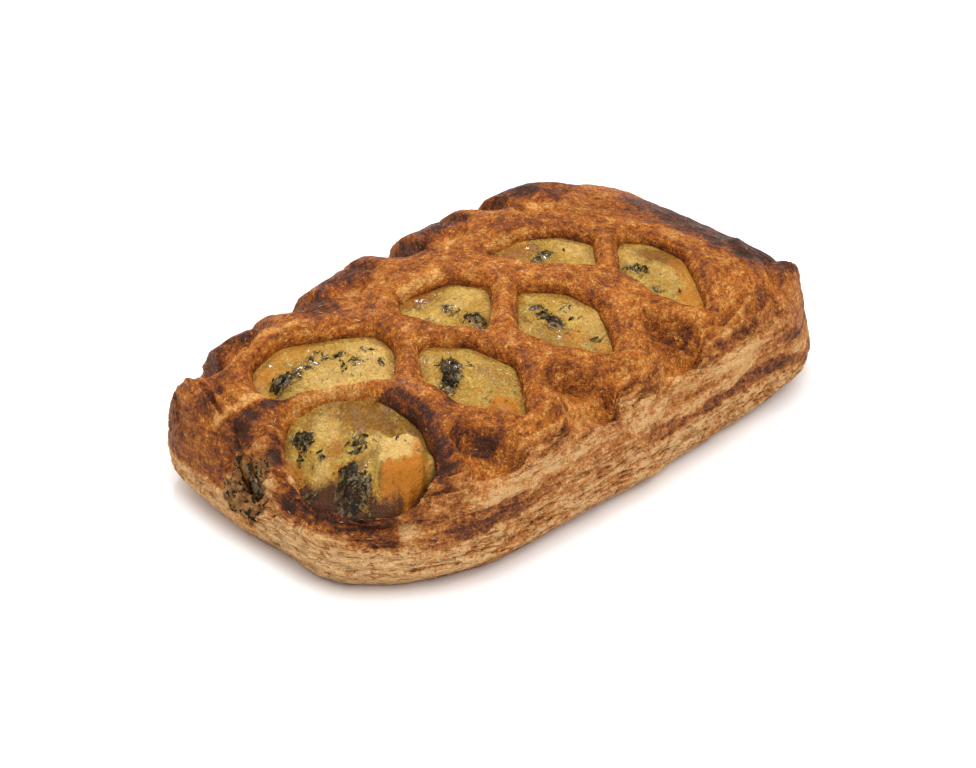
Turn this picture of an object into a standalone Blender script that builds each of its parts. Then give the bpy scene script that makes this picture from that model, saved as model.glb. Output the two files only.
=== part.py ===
"""Spinach and feta strudel: a rectangular puff-pastry slice with a lattice top.

Three solids in metres, +Z up, with the origin under the middle of the slice: the puffed base sheet, the lattice
lid sealed onto its edge, and the filling that runs between them and shows in the lattice windows.
The long sides lie along X. The near end of the slice is at -X and its near long side is at -Y.
"""

import math
from dataclasses import dataclass
from functools import partial

import bmesh
import bpy
from mathutils import Vector, noise

MM = 0.001

# The slice as a whole
LENGTH = 149 * MM
WIDTH = 90 * MM
SEAM_Z = 8 * MM  # top of the base sheet's puffed edge, where the lid is sealed on
RIM_Z = 17 * MM  # top of the lid's cut edge
CROWN_Z = 33.5 * MM  # top of the sheet in the middle, before the strands puff up
CLEARANCE = 0.5 * MM  # kept between the filling and the two sheets
SEAM_GAP = 0.3 * MM

# Squareness of each corner of the plan, at the rim and at the foot: (far end?, far side?)
CORNERS = {
    (False, False): (3.4, 3.4),
    (False, True): (6.2, 3.6),
    (True, False): (6.0, 5.2),
    (True, True): (3.8, 4.0),
}
EDGE_WAVE = 1.3 * MM  # unevenness of the hand-cut edges
WAVE_LENGTH = 18 * MM

# Crown: a larger fullness keeps the top level further out. Keys: far end? far side?
END_FULLNESS = {False: 3.2, True: 2.3}
SIDE_FULLNESS = {False: 2.4, True: 4.0}
END_STEEPNESS = {False: 0.65, True: 0.5}  # 0.5 rises from the rim like a circle's side, 1 like a slope
SIDE_STEEPNESS = 0.5
# Where the near end's window slumped before it set: place, radius and depth
SLUMP_PLACE = (-75 * MM, -6 * MM)
SLUMP_RADIUS = 28 * MM
SLUMP_DEPTH = 6 * MM
# Folds of dough that stand up at the far end's corners: x, y, radius, height
FOLDS = (
    (67 * MM, -36 * MM, 7 * MM, 4.5 * MM),
    (50 * MM, 38 * MM, 16 * MM, 3.5 * MM),
)
# Notches in the far side between the strands' tucked ends
NOTCH_FIRST_X = -62.5 * MM
NOTCH_COUNT = 4
NOTCH_RADIUS = 8.5 * MM
NOTCH_REACH = (32 * MM, 43 * MM)  # they deepen between these places across the slice
NOTCH_DEPTH = 6.5 * MM
NOTCH_INSET = 3.5 * MM
TOP_WAVE = (12 * MM, 0.5 * MM)  # unevenness of the sheet's surface: size and height
RELIEF_END = 0.92  # the lattice flattens out from here to the edge, as a share of the way

# Sides
FLOOR_Z = 5 * MM  # baked thickness of the base sheet under the filling
BULGE_Z = 6.5 * MM  # height of the widest point of the puffed edge
FOOT_INSET = 5.0 * MM  # the foot stands in from it by this much
FOOT_CURVE = 1.3  # 1 tucks the foot in along a straight slope, more along a hollow one
LEAN_START = 0.75  # the side's lean is spread over the plan from here to the edge, as a share of the way
LEAN = 0.22  # how far the side leans in for each unit of height above it
LAYER_RELIEF = 0.7 * MM  # flaky layers along the cut edges
LAYER_SIZE = (30 * MM, 2.4 * MM)  # their length and height

# Lattice lid
LID_THICKNESS = 5 * MM
STRAND_RISE = 3.5 * MM  # a strand's puffed back above the sheet
STRAND_FLANK = 5.5 * MM  # width of its round flank, which starts just inside a window
FLANK_START = -2.0 * MM
CELL_PITCH = 31.2 * MM  # from window to window along the slice
POINTED = 1.45  # a window's roundness: 1 is a sharp diamond, 2 an ellipse
ROUNDED = 2.2
WINDOW_SHOULDER = 0.9 * MM  # the cut runs this far up the strand's flank
WINDOW_FLOOR_Z = 10 * MM  # a window stops this high in the lid's wall
CUTTER_TOP_Z = 45 * MM  # clear above the slice
OPEN_HALF_SIZE = (10.2 * MM, 14.2 * MM)
CLOSED_HALF_SIZE = (9.5 * MM, 8.5 * MM)
CLOSED_DEPTH = 3.4 * MM
CLOSED_SLOPE = (-4.5 * MM, 3.5 * MM)  # a dimple's side runs between these distances from the cell's edge

# Filling
END_MARGIN = {False: 5.0 * MM, True: 10.0 * MM}  # from the end to the filling. Key: far end?
SIDE_MARGIN = 8.0 * MM
MOUND_EDGE = 1.0 * MM  # depth below the sheet at a window's edge
MOUND_RISE = 3.0 * MM  # from there to the middle of the mound
MOUND_FULLNESS = 0.6  # below 1 the mound's top is flatter than a dome
MOUND_ROOT = 4.0 * MM  # how deep the mound's sides go into the filling
CLUMP_SIZE = (5.5 * MM, 2.2 * MM)  # radius and height of a spinach or feta clump
CLUMP_FADE = 3.0  # clumps flatten out towards the window's edge, more steeply when larger

# Mesh density: steps along X, Y and Z
LID_STEPS = (62, 38, 4)
BASE_STEPS = (42, 26, 5)
FILLING_STEPS = (26, 15, 1)
SPACE_STEPS = (26, 15, 1)
MOUND_STEPS = (8, 9, 1)
CUTTER_STEPS = (7, 7, 1)


@dataclass
class Window:
    """One cell of the lattice, open to the filling or closed to a dimple."""

    x: float
    y: float
    half_x: float
    half_y: float
    is_open: bool
    roundness: float = POINTED
    turn: float = 0.0

    def distance(self, x, y):
        """Roughly how far a point lies outside the window's edge, less than 0 inside."""
        cos, sin = math.cos(self.turn), math.sin(self.turn)
        dx, dy = x - self.x, y - self.y
        across = abs(dx * cos + dy * sin) / self.half_x
        along = abs(dy * cos - dx * sin) / self.half_y
        level = (across**self.roundness + along**self.roundness) ** (1 / self.roundness)
        return (level - 1) / math.hypot(1 / self.half_x, 1 / self.half_y)

    def inner_point(self, u, v, grow):
        """Maps a square from -1 to 1 onto the window, grown all round."""
        across, along = u * math.sqrt(1 - v * v / 2), v * math.sqrt(1 - u * u / 2)
        size = math.hypot(across, along)
        if size:
            power = self.roundness
            reach = size / (abs(across) ** power + abs(along) ** power) ** (1 / power)
            across, along = across * reach, along * reach
        dx, dy = across * (self.half_x + grow), along * (self.half_y + grow)
        cos, sin = math.cos(self.turn), math.sin(self.turn)
        return self.x + dx * cos - dy * sin, self.y + dx * sin + dy * cos


# Rows of cells across the slice: (first cell's x, y, number of cells, is it open, half size)
ROWS = (
    (-42.0 * MM, -36.0 * MM, 4, False, CLOSED_HALF_SIZE),
    (-59.5 * MM, -17.8 * MM, 4, True, OPEN_HALF_SIZE),
    (-43.9 * MM, 4.2 * MM, 3, True, OPEN_HALF_SIZE),
    (-51.0 * MM, 32.0 * MM, 4, False, CLOSED_HALF_SIZE),
)
# Cells that were pulled out of shape when the sheet was laid: (row, cell)
PULLED = {
    (1, 0): Window(-59.5 * MM, -14.3 * MM, 9.0 * MM, 18.2 * MM, True, ROUNDED, math.radians(18)),
    (1, 3): Window(36.1 * MM, -17.3 * MM, 10.2 * MM, 14.2 * MM, True),
    (2, 0): Window(-46.0 * MM, 5.7 * MM, 9.0 * MM, 13.5 * MM, True, ROUNDED, math.radians(56)),
    (2, 1): Window(-12.7 * MM, 3.2 * MM, 10.2 * MM, 12.8 * MM, True),
    (2, 2): Window(20.5 * MM, 4.7 * MM, 10.2 * MM, 13.5 * MM, True),
}
# A split in the near end's slope where the filling shows too
END_SPLIT = Window(-69.3 * MM, 6.5 * MM, 2.2 * MM, 7.5 * MM, True, ROUNDED)


def lattice_windows():
    """Every cell of the rows, each at its own place and size, and the split in the near end."""
    windows = [END_SPLIT]
    for row, (first_x, y, count, is_open, half_size) in enumerate(ROWS):
        for cell in range(count):
            regular = Window(first_x + cell * CELL_PITCH, y, *half_size, is_open)
            windows.append(PULLED.get((row, cell), regular))
    return windows


WINDOWS = lattice_windows()
OPEN_WINDOWS = [window for window in WINDOWS if window.is_open]


def smooth_step(value):
    """0 below 0, 1 above 1, and an even S between."""
    value = min(max(value, 0.0), 1.0)
    return value * value * (3 - 2 * value)


def wobble(x, y, scale, seed):
    """Smooth unevenness from -1 to 1, with bumps about scale across."""
    return noise.noise(Vector((x, y, 0)) / scale + Vector((seed, seed * 0.7, 0.3)))


def squareness(u, v, z):
    """The plan's superellipse exponent in the corner that (u, v) is nearest to, at the height z."""
    at_rim, at_foot = CORNERS[(u > 0, v > 0)]
    return at_foot + (at_rim - at_foot) * min(1.0, z / RIM_Z)


def plan(u, v, z=RIM_Z):
    """Where the point (u, v) of a square from -1 to 1 lies in the slice's round-cornered plan at z."""
    reach = max(abs(u), abs(v))
    if not reach:
        return 0.0, 0.0
    power = squareness(u, v, z)
    drawn_in = (abs(u / reach) ** power + abs(v / reach) ** power) ** (1 / power)
    return LENGTH / 2 * u / drawn_in, WIDTH / 2 * v / drawn_in


def crown(x, y):
    """Height of the baked sheet over (x, y), from the rim up to the middle."""
    power = squareness(x, y, RIM_Z)
    along, across = abs(x / (LENGTH / 2)) ** power, abs(y / (WIDTH / 2)) ** power
    reach = (along + across) ** (1 / power)
    share = along / (along + across) if reach else 0.5
    fullness = END_FULLNESS[x > 0] * share + SIDE_FULLNESS[y > 0] * (1 - share)
    steepness = END_STEEPNESS[x > 0] * share + SIDE_STEEPNESS * (1 - share)
    slump = math.hypot(x - SLUMP_PLACE[0], y - SLUMP_PLACE[1]) / SLUMP_RADIUS
    rise = (CROWN_Z - RIM_Z) * max(0.0, 1 - reach**fullness) ** steepness
    return RIM_Z + rise - SLUMP_DEPTH * (1 - smooth_step(slump))


def cell_relief(window, x, y):
    """Height above the sheet that one cell allows: a strand's round flank, and a closed cell's dimple."""
    distance = window.distance(x, y)
    if window.is_open:
        flank = min(max((distance - FLANK_START) / STRAND_FLANK, 0.0), 1.0)
        return STRAND_RISE * (1 - (1 - flank) ** 2)
    inner, outer = CLOSED_SLOPE
    return (STRAND_RISE + CLOSED_DEPTH) * smooth_step((distance - inner) / (outer - inner)) - CLOSED_DEPTH


def strand_relief(x, y):
    """Height of the lattice above the sheet: strands where no cell holds it down."""
    return min(cell_relief(window, x, y) for window in WINDOWS)


def folds(x, y):
    """Height of the folds of dough at the far end's corners."""
    return sum(
        height * (1 - smooth_step(math.hypot(x - fold_x, y - fold_y) / radius))
        for fold_x, fold_y, radius, height in FOLDS
    )


def far_notch(x, y):
    """How far (x, y) is into one of the far side's notches, from 0 to 1."""
    nearest = round(min(max((x - NOTCH_FIRST_X) / CELL_PITCH, 0), NOTCH_COUNT - 1))
    reach = abs(x - NOTCH_FIRST_X - nearest * CELL_PITCH) / NOTCH_RADIUS
    start, end = NOTCH_REACH
    return (1 - smooth_step(reach)) * smooth_step((y - start) / (end - start))


def side_inset(z):
    """How far the side stands in from the widest point at the height z."""
    if z > BULGE_Z:
        return LEAN * (z - BULGE_Z)
    return FOOT_INSET * (1 - z / BULGE_Z) ** FOOT_CURVE


def side_point(u, v, z):
    """Where (u, v) of the plan lies at the height z, with the hand-cut edge's waves and its flaky layers."""
    x, y = plan(u, v, z)
    edge = max(abs(u), abs(v))
    inset = side_inset(z) * smooth_step((edge - LEAN_START) / (1 - LEAN_START))
    if edge > 0.999:
        length, height = LAYER_SIZE
        inset -= LAYER_RELIEF * noise.noise(Vector(((x + y) / length, z / height, 2.0)))
    wave = EDGE_WAVE * edge**3
    notch = NOTCH_INSET * far_notch(x, y) * z / RIM_Z
    return (
        x * (1 - inset / (LENGTH / 2)) + wave * wobble(x, y, WAVE_LENGTH, 1.0),
        y * (1 - inset / (WIDTH / 2)) + wave * wobble(x, y, WAVE_LENGTH, 4.0) - notch,
    )


def lid_point(u, v, w):
    """The lid blank: the lattice relief on top, a layered cut edge, and a flat underside on the seam."""
    x, y = plan(u, v)
    fade = 1 - smooth_step((max(abs(u), abs(v)) - RELIEF_END) / (1 - RELIEF_END))
    top = crown(x, y) + strand_relief(x, y) * fade + folds(x, y) - NOTCH_DEPTH * far_notch(x, y)
    size, height = TOP_WAVE
    top += height * wobble(x, y, size, 3.0)
    bottom = SEAM_Z + SEAM_GAP
    z = bottom + (top - bottom) * w
    return *side_point(u, v, min(z, RIM_Z)), z


def base_point(u, v, w):
    """The base sheet: a flat foot, a puffed and layered edge that overhangs it, and a flat top on the seam."""
    z = SEAM_Z * w
    return *side_point(u, v, z), z


def filling_plan(u, v, grow):
    """Where (u, v) lies in the filling's plan, which keeps a margin from the slice's, grown by a clearance."""
    x, y = plan(u, v)
    end, side = END_MARGIN[u > 0] - grow, SIDE_MARGIN - grow
    return x * (1 - end / (LENGTH / 2)), y * (1 - side / (WIDTH / 2))


def filling_point(u, v, w):
    """The body of the filling: flat below, and close under the lid above."""
    x, y = filling_plan(u, v, 0)
    bottom, top = FLOOR_Z + CLEARANCE, crown(x, y) - LID_THICKNESS - CLEARANCE
    return x, y, bottom + (top - bottom) * w


def space_point(u, v, w):
    """The room that the two sheets leave for the filling, as a cutter."""
    x, y = filling_plan(u, v, CLEARANCE)
    return x, y, FLOOR_Z + (crown(x, y) - LID_THICKNESS - FLOOR_Z) * w


def mound_point(window, u, v, w):
    """The filling's mound in a window, from inside the filling to its lumpy, domed top."""
    x, y = window.inner_point(u, v, WINDOW_SHOULDER - CLEARANCE)
    sheet = crown(x, y)
    dome = (1 - u * u) * (1 - v * v)
    radius, height = CLUMP_SIZE
    top = sheet - MOUND_EDGE + MOUND_RISE * dome**MOUND_FULLNESS
    top += height * wobble(x, y, radius, 5.2) * min(1.0, CLUMP_FADE * dome)
    bottom = max(sheet - LID_THICKNESS - MOUND_ROOT, WINDOW_FLOOR_Z + CLEARANCE)
    return x, y, bottom + (top - bottom) * w


def cutter_point(window, u, v, w):
    """The prism that opens a window through the lid."""
    x, y = window.inner_point(u, v, WINDOW_SHOULDER)
    return x, y, WINDOW_FLOOR_Z + (CUTTER_TOP_Z - WINDOW_FLOOR_Z) * w


def is_level(edge):
    """Whether both faces of an edge are level, so that the edge isn't needed."""
    return len(edge.link_faces) == 2 and all(abs(face.normal.z) > 0.99999 for face in edge.link_faces)


def block(name, steps, point, collection):
    """A box of steps[0] x steps[1] x steps[2] cells whose vertices are moved to point(u, v, w)."""
    bm = bmesh.new()
    bmesh.ops.create_grid(bm, x_segments=steps[0], y_segments=steps[1], size=1)
    made = bmesh.ops.extrude_face_region(bm, geom=bm.faces[:])
    for item in made["geom"]:
        if isinstance(item, bmesh.types.BMVert):
            item.co.z = 1
    upright = [edge for edge in bm.edges if edge.verts[0].co.z != edge.verts[1].co.z]
    if steps[2] > 1:
        bmesh.ops.subdivide_edges(bm, edges=upright, cuts=steps[2] - 1, use_grid_fill=True)
    for vertex in bm.verts:
        vertex.co = point(*vertex.co)
    bmesh.ops.recalc_face_normals(bm, faces=bm.faces[:])
    bmesh.ops.dissolve_edges(bm, edges=[edge for edge in bm.edges if is_level(edge)], use_verts=True)
    mesh = bpy.data.meshes.new(name)
    bm.to_mesh(mesh)
    bm.free()
    solid = bpy.data.objects.new(name, mesh)
    collection.objects.link(solid)
    return solid


def combine(target, name, operation, tools):
    """A live Boolean: tools is an object or a collection."""
    modifier = target.modifiers.new(name, "BOOLEAN")
    modifier.operation = operation
    modifier.solver = "EXACT"
    if isinstance(tools, bpy.types.Collection):
        modifier.operand_type = "COLLECTION"
        modifier.collection = tools
    else:
        modifier.object = tools


def finish(target, name, colour, roughness):
    """Gives a solid its own Principled material and smooth shading with sharp creases."""
    material = bpy.data.materials.new(name)
    material.use_nodes = True
    shader = material.node_tree.nodes["Principled BSDF"]
    shader.inputs["Base Color"].default_value = (*colour, 1)
    shader.inputs["Roughness"].default_value = roughness
    shader.inputs["Metallic"].default_value = 0
    target.data.materials.append(material)
    target.data.shade_smooth()
    target.data.set_sharp_from_angle(angle=math.radians(50))


def hide_guides(guides):
    """Cutters and mounds aren't parts of their own."""
    for guide in guides:
        guide.hide_render = True
        guide.display_type = "WIRE"


def main():
    """Clears the scene and builds the three solids."""
    for old in list(bpy.data.objects):
        bpy.data.objects.remove(old)
    parts = bpy.data.collections.new("spinach_feta_strudel")
    spaces = bpy.data.collections.new("spaces")
    cutters = bpy.data.collections.new("window_cutters")
    mounds = bpy.data.collections.new("window_mounds")
    for collection in (parts, spaces, cutters, mounds):
        bpy.context.scene.collection.children.link(collection)

    lid = block("lattice_lid", LID_STEPS, lid_point, parts)
    base = block("base_sheet", BASE_STEPS, base_point, parts)
    filling = block("filling", FILLING_STEPS, filling_point, parts)
    space = block("filling_space", SPACE_STEPS, space_point, spaces)
    for index, window in enumerate(OPEN_WINDOWS):
        block(f"window_cutter_{index}", CUTTER_STEPS, partial(cutter_point, window), cutters)
        block(f"window_mound_{index}", MOUND_STEPS, partial(mound_point, window), mounds)
    hide_guides([space, *cutters.objects, *mounds.objects])

    combine(lid, "filling_space", "DIFFERENCE", space)
    combine(lid, "windows", "DIFFERENCE", cutters)
    combine(base, "filling_space", "DIFFERENCE", space)
    combine(filling, "mounds", "UNION", mounds)

    finish(lid, "golden_pastry", (0.55, 0.25, 0.07), 0.5)
    finish(base, "pale_pastry", (0.66, 0.42, 0.20), 0.65)
    finish(filling, "spinach_feta_filling", (0.52, 0.42, 0.13), 0.35)


main()
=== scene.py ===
"""Spinach and feta strudel: the baked crust, the filling in its windows and the loose shreds and flakes.

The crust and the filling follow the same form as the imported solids. Lengths in the dataclass fields are
millimetres, and meshes are made in metres with their place in their vertices. The long sides of the slice lie
along X, the near end is at -X and the near long side at -Y.
"""

from __future__ import annotations

import itertools
import logging
import math
from dataclasses import dataclass, field
from enum import Enum
from functools import cached_property
from typing import Any, Sequence

import bpy
import numpy as np
from mathutils import Matrix, Vector

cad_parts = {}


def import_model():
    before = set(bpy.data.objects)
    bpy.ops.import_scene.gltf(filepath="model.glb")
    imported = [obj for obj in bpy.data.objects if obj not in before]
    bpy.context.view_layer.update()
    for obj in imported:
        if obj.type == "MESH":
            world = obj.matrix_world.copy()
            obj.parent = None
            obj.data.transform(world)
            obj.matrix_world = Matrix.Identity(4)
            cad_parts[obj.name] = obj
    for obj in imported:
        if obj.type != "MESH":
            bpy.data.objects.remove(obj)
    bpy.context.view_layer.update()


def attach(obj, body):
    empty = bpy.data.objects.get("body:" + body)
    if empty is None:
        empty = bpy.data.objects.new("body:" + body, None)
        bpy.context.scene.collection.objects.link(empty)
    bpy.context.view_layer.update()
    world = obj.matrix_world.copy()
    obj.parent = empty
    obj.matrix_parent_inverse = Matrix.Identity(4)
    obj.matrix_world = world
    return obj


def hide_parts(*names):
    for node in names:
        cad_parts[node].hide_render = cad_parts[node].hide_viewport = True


Array = np.ndarray
Pair = tuple[float, float]
Triple = tuple[float, float, float]
Colour = Triple
Piece = bpy.types.Object
Material = bpy.types.Material

LOG = logging.getLogger("strudel")
MM = 0.001
COVERS = ("cream", "film", "toast", "scorch", "spinach")  # what the filling's surface is painted with


# ---- Numbers over the surface ----


def smooth_step(value: Array) -> Array:
    """0 below 0, 1 above 1, and an even S between."""
    value = np.clip(value, 0.0, 1.0)
    return value * value * (3 - 2 * value)


def mix(first: Array, second: Array, share: Array) -> Array:
    """Goes from first to second as share goes from 0 to 1."""
    return first + (second - first) * share


@dataclass(frozen=True)
class Rise:
    """A smooth change from 0 to 1 along some measure."""

    start: float
    run: float

    def __call__(self, value: Array) -> Array:
        """0 up to the start, 1 once the run is over."""
        return smooth_step((value - self.start) / self.run)


def meet(rises: Sequence[Rise], *measures: Array) -> Array:
    """Where several rises come together.

    Args:
        rises: The rises.
        measures: What each of them goes along, in the same order.

    Returns:
        1 where all the rises are over, 0 where one of them hasn't begun.
    """
    share = 1.0
    for rise, measure in zip(rises, measures):
        share = share * rise(measure)
    return share


class Grain:
    """Smooth gradient noise on arrays, the same on each run."""

    CORNERS = tuple(itertools.product((0, 1), repeat=3))
    TABLE = 256  # directions before the pattern repeats
    GAIN = 1.6  # brings the noise to about -1 to 1
    OCTAVE_SHIFT = 17
    OCTAVE_GAIN = 1.5

    def __init__(self, seed: int) -> None:
        """Draws the lattice of directions from the seed."""
        draw = np.random.default_rng(seed)
        self._order = np.tile(draw.permutation(self.TABLE), 2)
        directions = draw.normal(size=(self.TABLE, 3))
        self._directions = directions / np.linalg.norm(directions, axis=1, keepdims=True)

    def __call__(self, x: Array, y: Array, z: Array | float = 0.0) -> Array:
        """Noise with bumps about one unit across.

        Args:
            x: First coordinate of each place.
            y: Second coordinate.
            z: Third coordinate, or which slice of the noise to take.

        Returns:
            Numbers from about -1 to 1.
        """
        place = np.stack(np.broadcast_arrays(x, y, z), -1).astype(float)
        base = np.floor(place).astype(int)
        within = place - base
        fade = within**3 * (within * (within * 6 - 15) + 10)
        total = np.zeros(place.shape[:-1])
        for corner in self.CORNERS:
            offset = np.array(corner)
            index = (base + offset) % self.TABLE
            picked = self._order[self._order[self._order[index[..., 0]] + index[..., 1]] + index[..., 2]]
            slope = (self._directions[picked] * (within - offset)).sum(-1)
            total += slope * np.prod(np.where(offset, fade, 1 - fade), -1)
        return total * self.GAIN

    def fractal(self, x: Array, y: Array, z: Array | float = 0.0, octaves: int = 3) -> Array:
        """Noise with finer and weaker layers added.

        Args:
            x: First coordinate of each place.
            y: Second coordinate.
            z: Third coordinate.
            octaves: How many layers, each twice as fine as the one before.

        Returns:
            Numbers from about -1 to 1.
        """
        total = np.zeros(np.broadcast(x, y, z).shape)
        for octave in range(octaves):
            scale = 2.0**octave
            total += self(x * scale + self.OCTAVE_SHIFT * octave, y * scale, np.asarray(z) * scale) / scale
        return total / self.OCTAVE_GAIN


@dataclass(frozen=True)
class Spot:
    """A soft-edged patch on the slice, seen from above."""

    x: float
    y: float
    radius: float
    amount: float = 1.0
    stretch: float = 1.0
    turn: float = 0.0
    soft: float = 0.65  # share of the radius over which the patch fades
    power: float = 2.0  # 2 for an ellipse, more for a rounded block

    def cover(self, x: Array, y: Array, ragged: Array | float = 0.0) -> Array:
        """How much of the patch covers each place.

        Args:
            x, y: Places on the slice.
            ragged: Unevenness of the patch's edge, as a share of its radius.

        Returns:
            The amount in the middle, falling to 0 at the edge.
        """
        cos, sin = math.cos(math.radians(self.turn)), math.sin(math.radians(self.turn))
        dx, dy = x - self.x, y - self.y
        along, across = (dx * cos + dy * sin) / self.stretch, dy * cos - dx * sin
        around = (np.abs(along) ** self.power + np.abs(across) ** self.power) ** (1 / self.power)
        reach = around / self.radius + ragged
        return self.amount * (1 - smooth_step((reach - 1 + self.soft) / self.soft))


@dataclass(frozen=True)
class Stroke:
    """A soft-edged line on the slice, seen from above."""

    path: tuple[Pair, ...]
    width: float
    amount: float

    EDGE = Rise(0.3, 0.7)  # over the distance from the path, as a share of the width

    def cover(self, x: Array, y: Array, ragged: Array | float = 0.0) -> Array:
        """How much of the line covers each place.

        Args:
            x, y: Places on the slice.
            ragged: Unevenness of the line's edge, as a share of its width.

        Returns:
            The amount along the path, falling to 0 at the line's edge.
        """
        nearest = np.full(np.shape(x), np.inf)
        for (x0, y0), (x1, y1) in zip(self.path, self.path[1:]):
            run_x, run_y = x1 - x0, y1 - y0
            share = np.clip(((x - x0) * run_x + (y - y0) * run_y) / (run_x**2 + run_y**2), 0, 1)
            nearest = np.minimum(nearest, np.hypot(x - x0 - share * run_x, y - y0 - share * run_y))
        return self.amount * (1 - self.EDGE(nearest / self.width + ragged))


def paint(spots: Sequence[Spot | Stroke], x: Array, y: Array, ragged: Array | float = 0.0) -> Array:
    """Adds up patches and lines.

    Args:
        spots: The patches and lines.
        x, y: Places on the slice.
        ragged: Unevenness of all their edges.

    Returns:
        The sum of their covers.
    """
    total = np.zeros(np.shape(x))
    for spot in spots:
        total = total + spot.cover(x, y, ragged)
    return total


# ---- The slice's form ----


class CellKind(Enum):
    """What a cell of the lattice shows."""

    OPEN = "open to the filling"
    TUCKED = "closed, with a patch of glazed dough"
    PINCHED = "closed, with a shallow dip"


@dataclass(frozen=True)
class Cell:
    """One cell of the lattice, from its corners in order round it."""

    kind: CellKind
    corners: tuple[Pair, ...]
    softness: float = 5.5  # degrees over which a corner is rounded

    TABLE = 720  # directions in the table of radii
    EDGE_STEPS = 200
    SPREADS = 3  # how many spreads the rounding reaches to either side

    @cached_property
    def centre(self) -> Array:
        """Middle of the corners."""
        return np.mean(self.corners, axis=0)

    @cached_property
    def radii(self) -> Array:
        """Distance from the centre to the edge in evenly spaced directions."""
        corners = np.array(self.corners) - self.centre
        following = np.roll(corners, -1, axis=0)
        step = np.linspace(0, 1, self.EDGE_STEPS, endpoint=False)[:, None, None]
        edge = (corners + (following - corners) * step).reshape(-1, 2)
        angle = np.arctan2(edge[:, 1], edge[:, 0])
        order = np.argsort(angle)
        directions = np.linspace(-math.pi, math.pi, self.TABLE, endpoint=False)
        reach = np.interp(directions, angle[order], np.hypot(*edge[order].T), period=2 * math.pi)
        half = int(self.SPREADS * self.softness * self.TABLE / 360)
        spread = np.exp(-0.5 * (np.arange(-half, half + 1) / (half / self.SPREADS)) ** 2)
        padded = np.concatenate([reach[-half:], reach, reach[:half]])
        return np.convolve(padded, spread / spread.sum(), "valid")

    def distance(self, x: Array, y: Array) -> Array:
        """Roughly how far each place lies outside the cell's edge.

        Args:
            x, y: Places on the slice.

        Returns:
            Millimetres, less than 0 inside the cell.
        """
        dx, dy = x - self.centre[0], y - self.centre[1]
        place = (np.arctan2(dy, dx) + math.pi) / (2 * math.pi) * self.TABLE
        index = np.floor(place).astype(int) % self.TABLE
        share = place - np.floor(place)
        here, after = self.radii[index], self.radii[(index + 1) % self.TABLE]
        slope = (after - here) * self.TABLE / (2 * math.pi)
        reach = mix(here, after, share)
        return (np.hypot(dx, dy) - reach) / np.hypot(1, slope / reach)


OPEN_CELLS = tuple(
    Cell(CellKind.OPEN, corners, softness)
    for softness, corners in (
        # Near row, from the near end: the large slumped window and three more
        (
            6.0,
            ((-62, 4.6), (-52.5, 0.8), (-46, -8.5), (-45, -20), (-51, -33), (-60.6, -35.8),
             (-68.4, -27.8), (-71.2, -12), (-67.8, -1.6)),
        ),
        (5.5, ((-27, -2.1), (-19.5, -10.5), (-17, -22), (-26.4, -35), (-35.5, -24), (-36, -12.8))),
        (5.5, ((5, -1.3), (12.2, -9.5), (13, -18.5), (4.4, -32.5), (-5.5, -23), (-7.8, -14.4))),
        (5.5, ((40.8, 0.1), (46.6, -5), (46.5, -14.5), (33.3, -34.5), (26.8, -24), (27.4, -12.4))),
        # Middle row
        (
            5.5,
            ((-46.5, 21.8), (-36, 14), (-29.8, 8), (-31.8, 0.7), (-40.6, -8.2), (-58, 8.2), (-59.5, 15),
             (-55.5, 21)),
        ),
        (
            5.5,
            ((-17, 14.4), (-3, 12), (1.2, 4.6), (-3.4, -1.4), (-13.8, -9.8), (-18.5, -2), (-21.5, 8.5)),
        ),
        (5.5, ((10, 14.2), (22, 15.2), (31.6, 10.6), (35, 3), (25.1, -7.2), (16, 1.6))),
        # The split in the near end's slope
        (8, ((-72, 11.5), (-70.6, 7), (-72.4, 1.5), (-74, -1.6), (-74.2, 5))),
    )
)
TUCKED_CELLS = tuple(
    Cell(CellKind.TUCKED, corners)
    for corners in (
        ((-44, -28.3), (-40.8, -28.8), (-31.8, -39.5), (-34, -44.5), (-50, -44.5), (-47, -36)),
        ((-14.5, -28.3), (-10.5, -28.9), (-1, -38.5), (-4, -44.8), (-22, -44.8), (-18.5, -36)),
        ((17, -27.3), (20.5, -27.8), (27.2, -38.5), (24, -44.6), (8, -44.8), (12.5, -35.5)),
    )
)
PINCHED_CELLS = tuple(
    Cell(CellKind.PINCHED, ((x - 9, y), (x - 0.5, y - 5.0), (x + 9, y - 0.5), (x + 1, y + 7)), 14.0)
    for x, y in ((-53.0, 30.0), (-23.0, 25.5), (8.5, 26.0), (37.0, 22.5))
)


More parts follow.
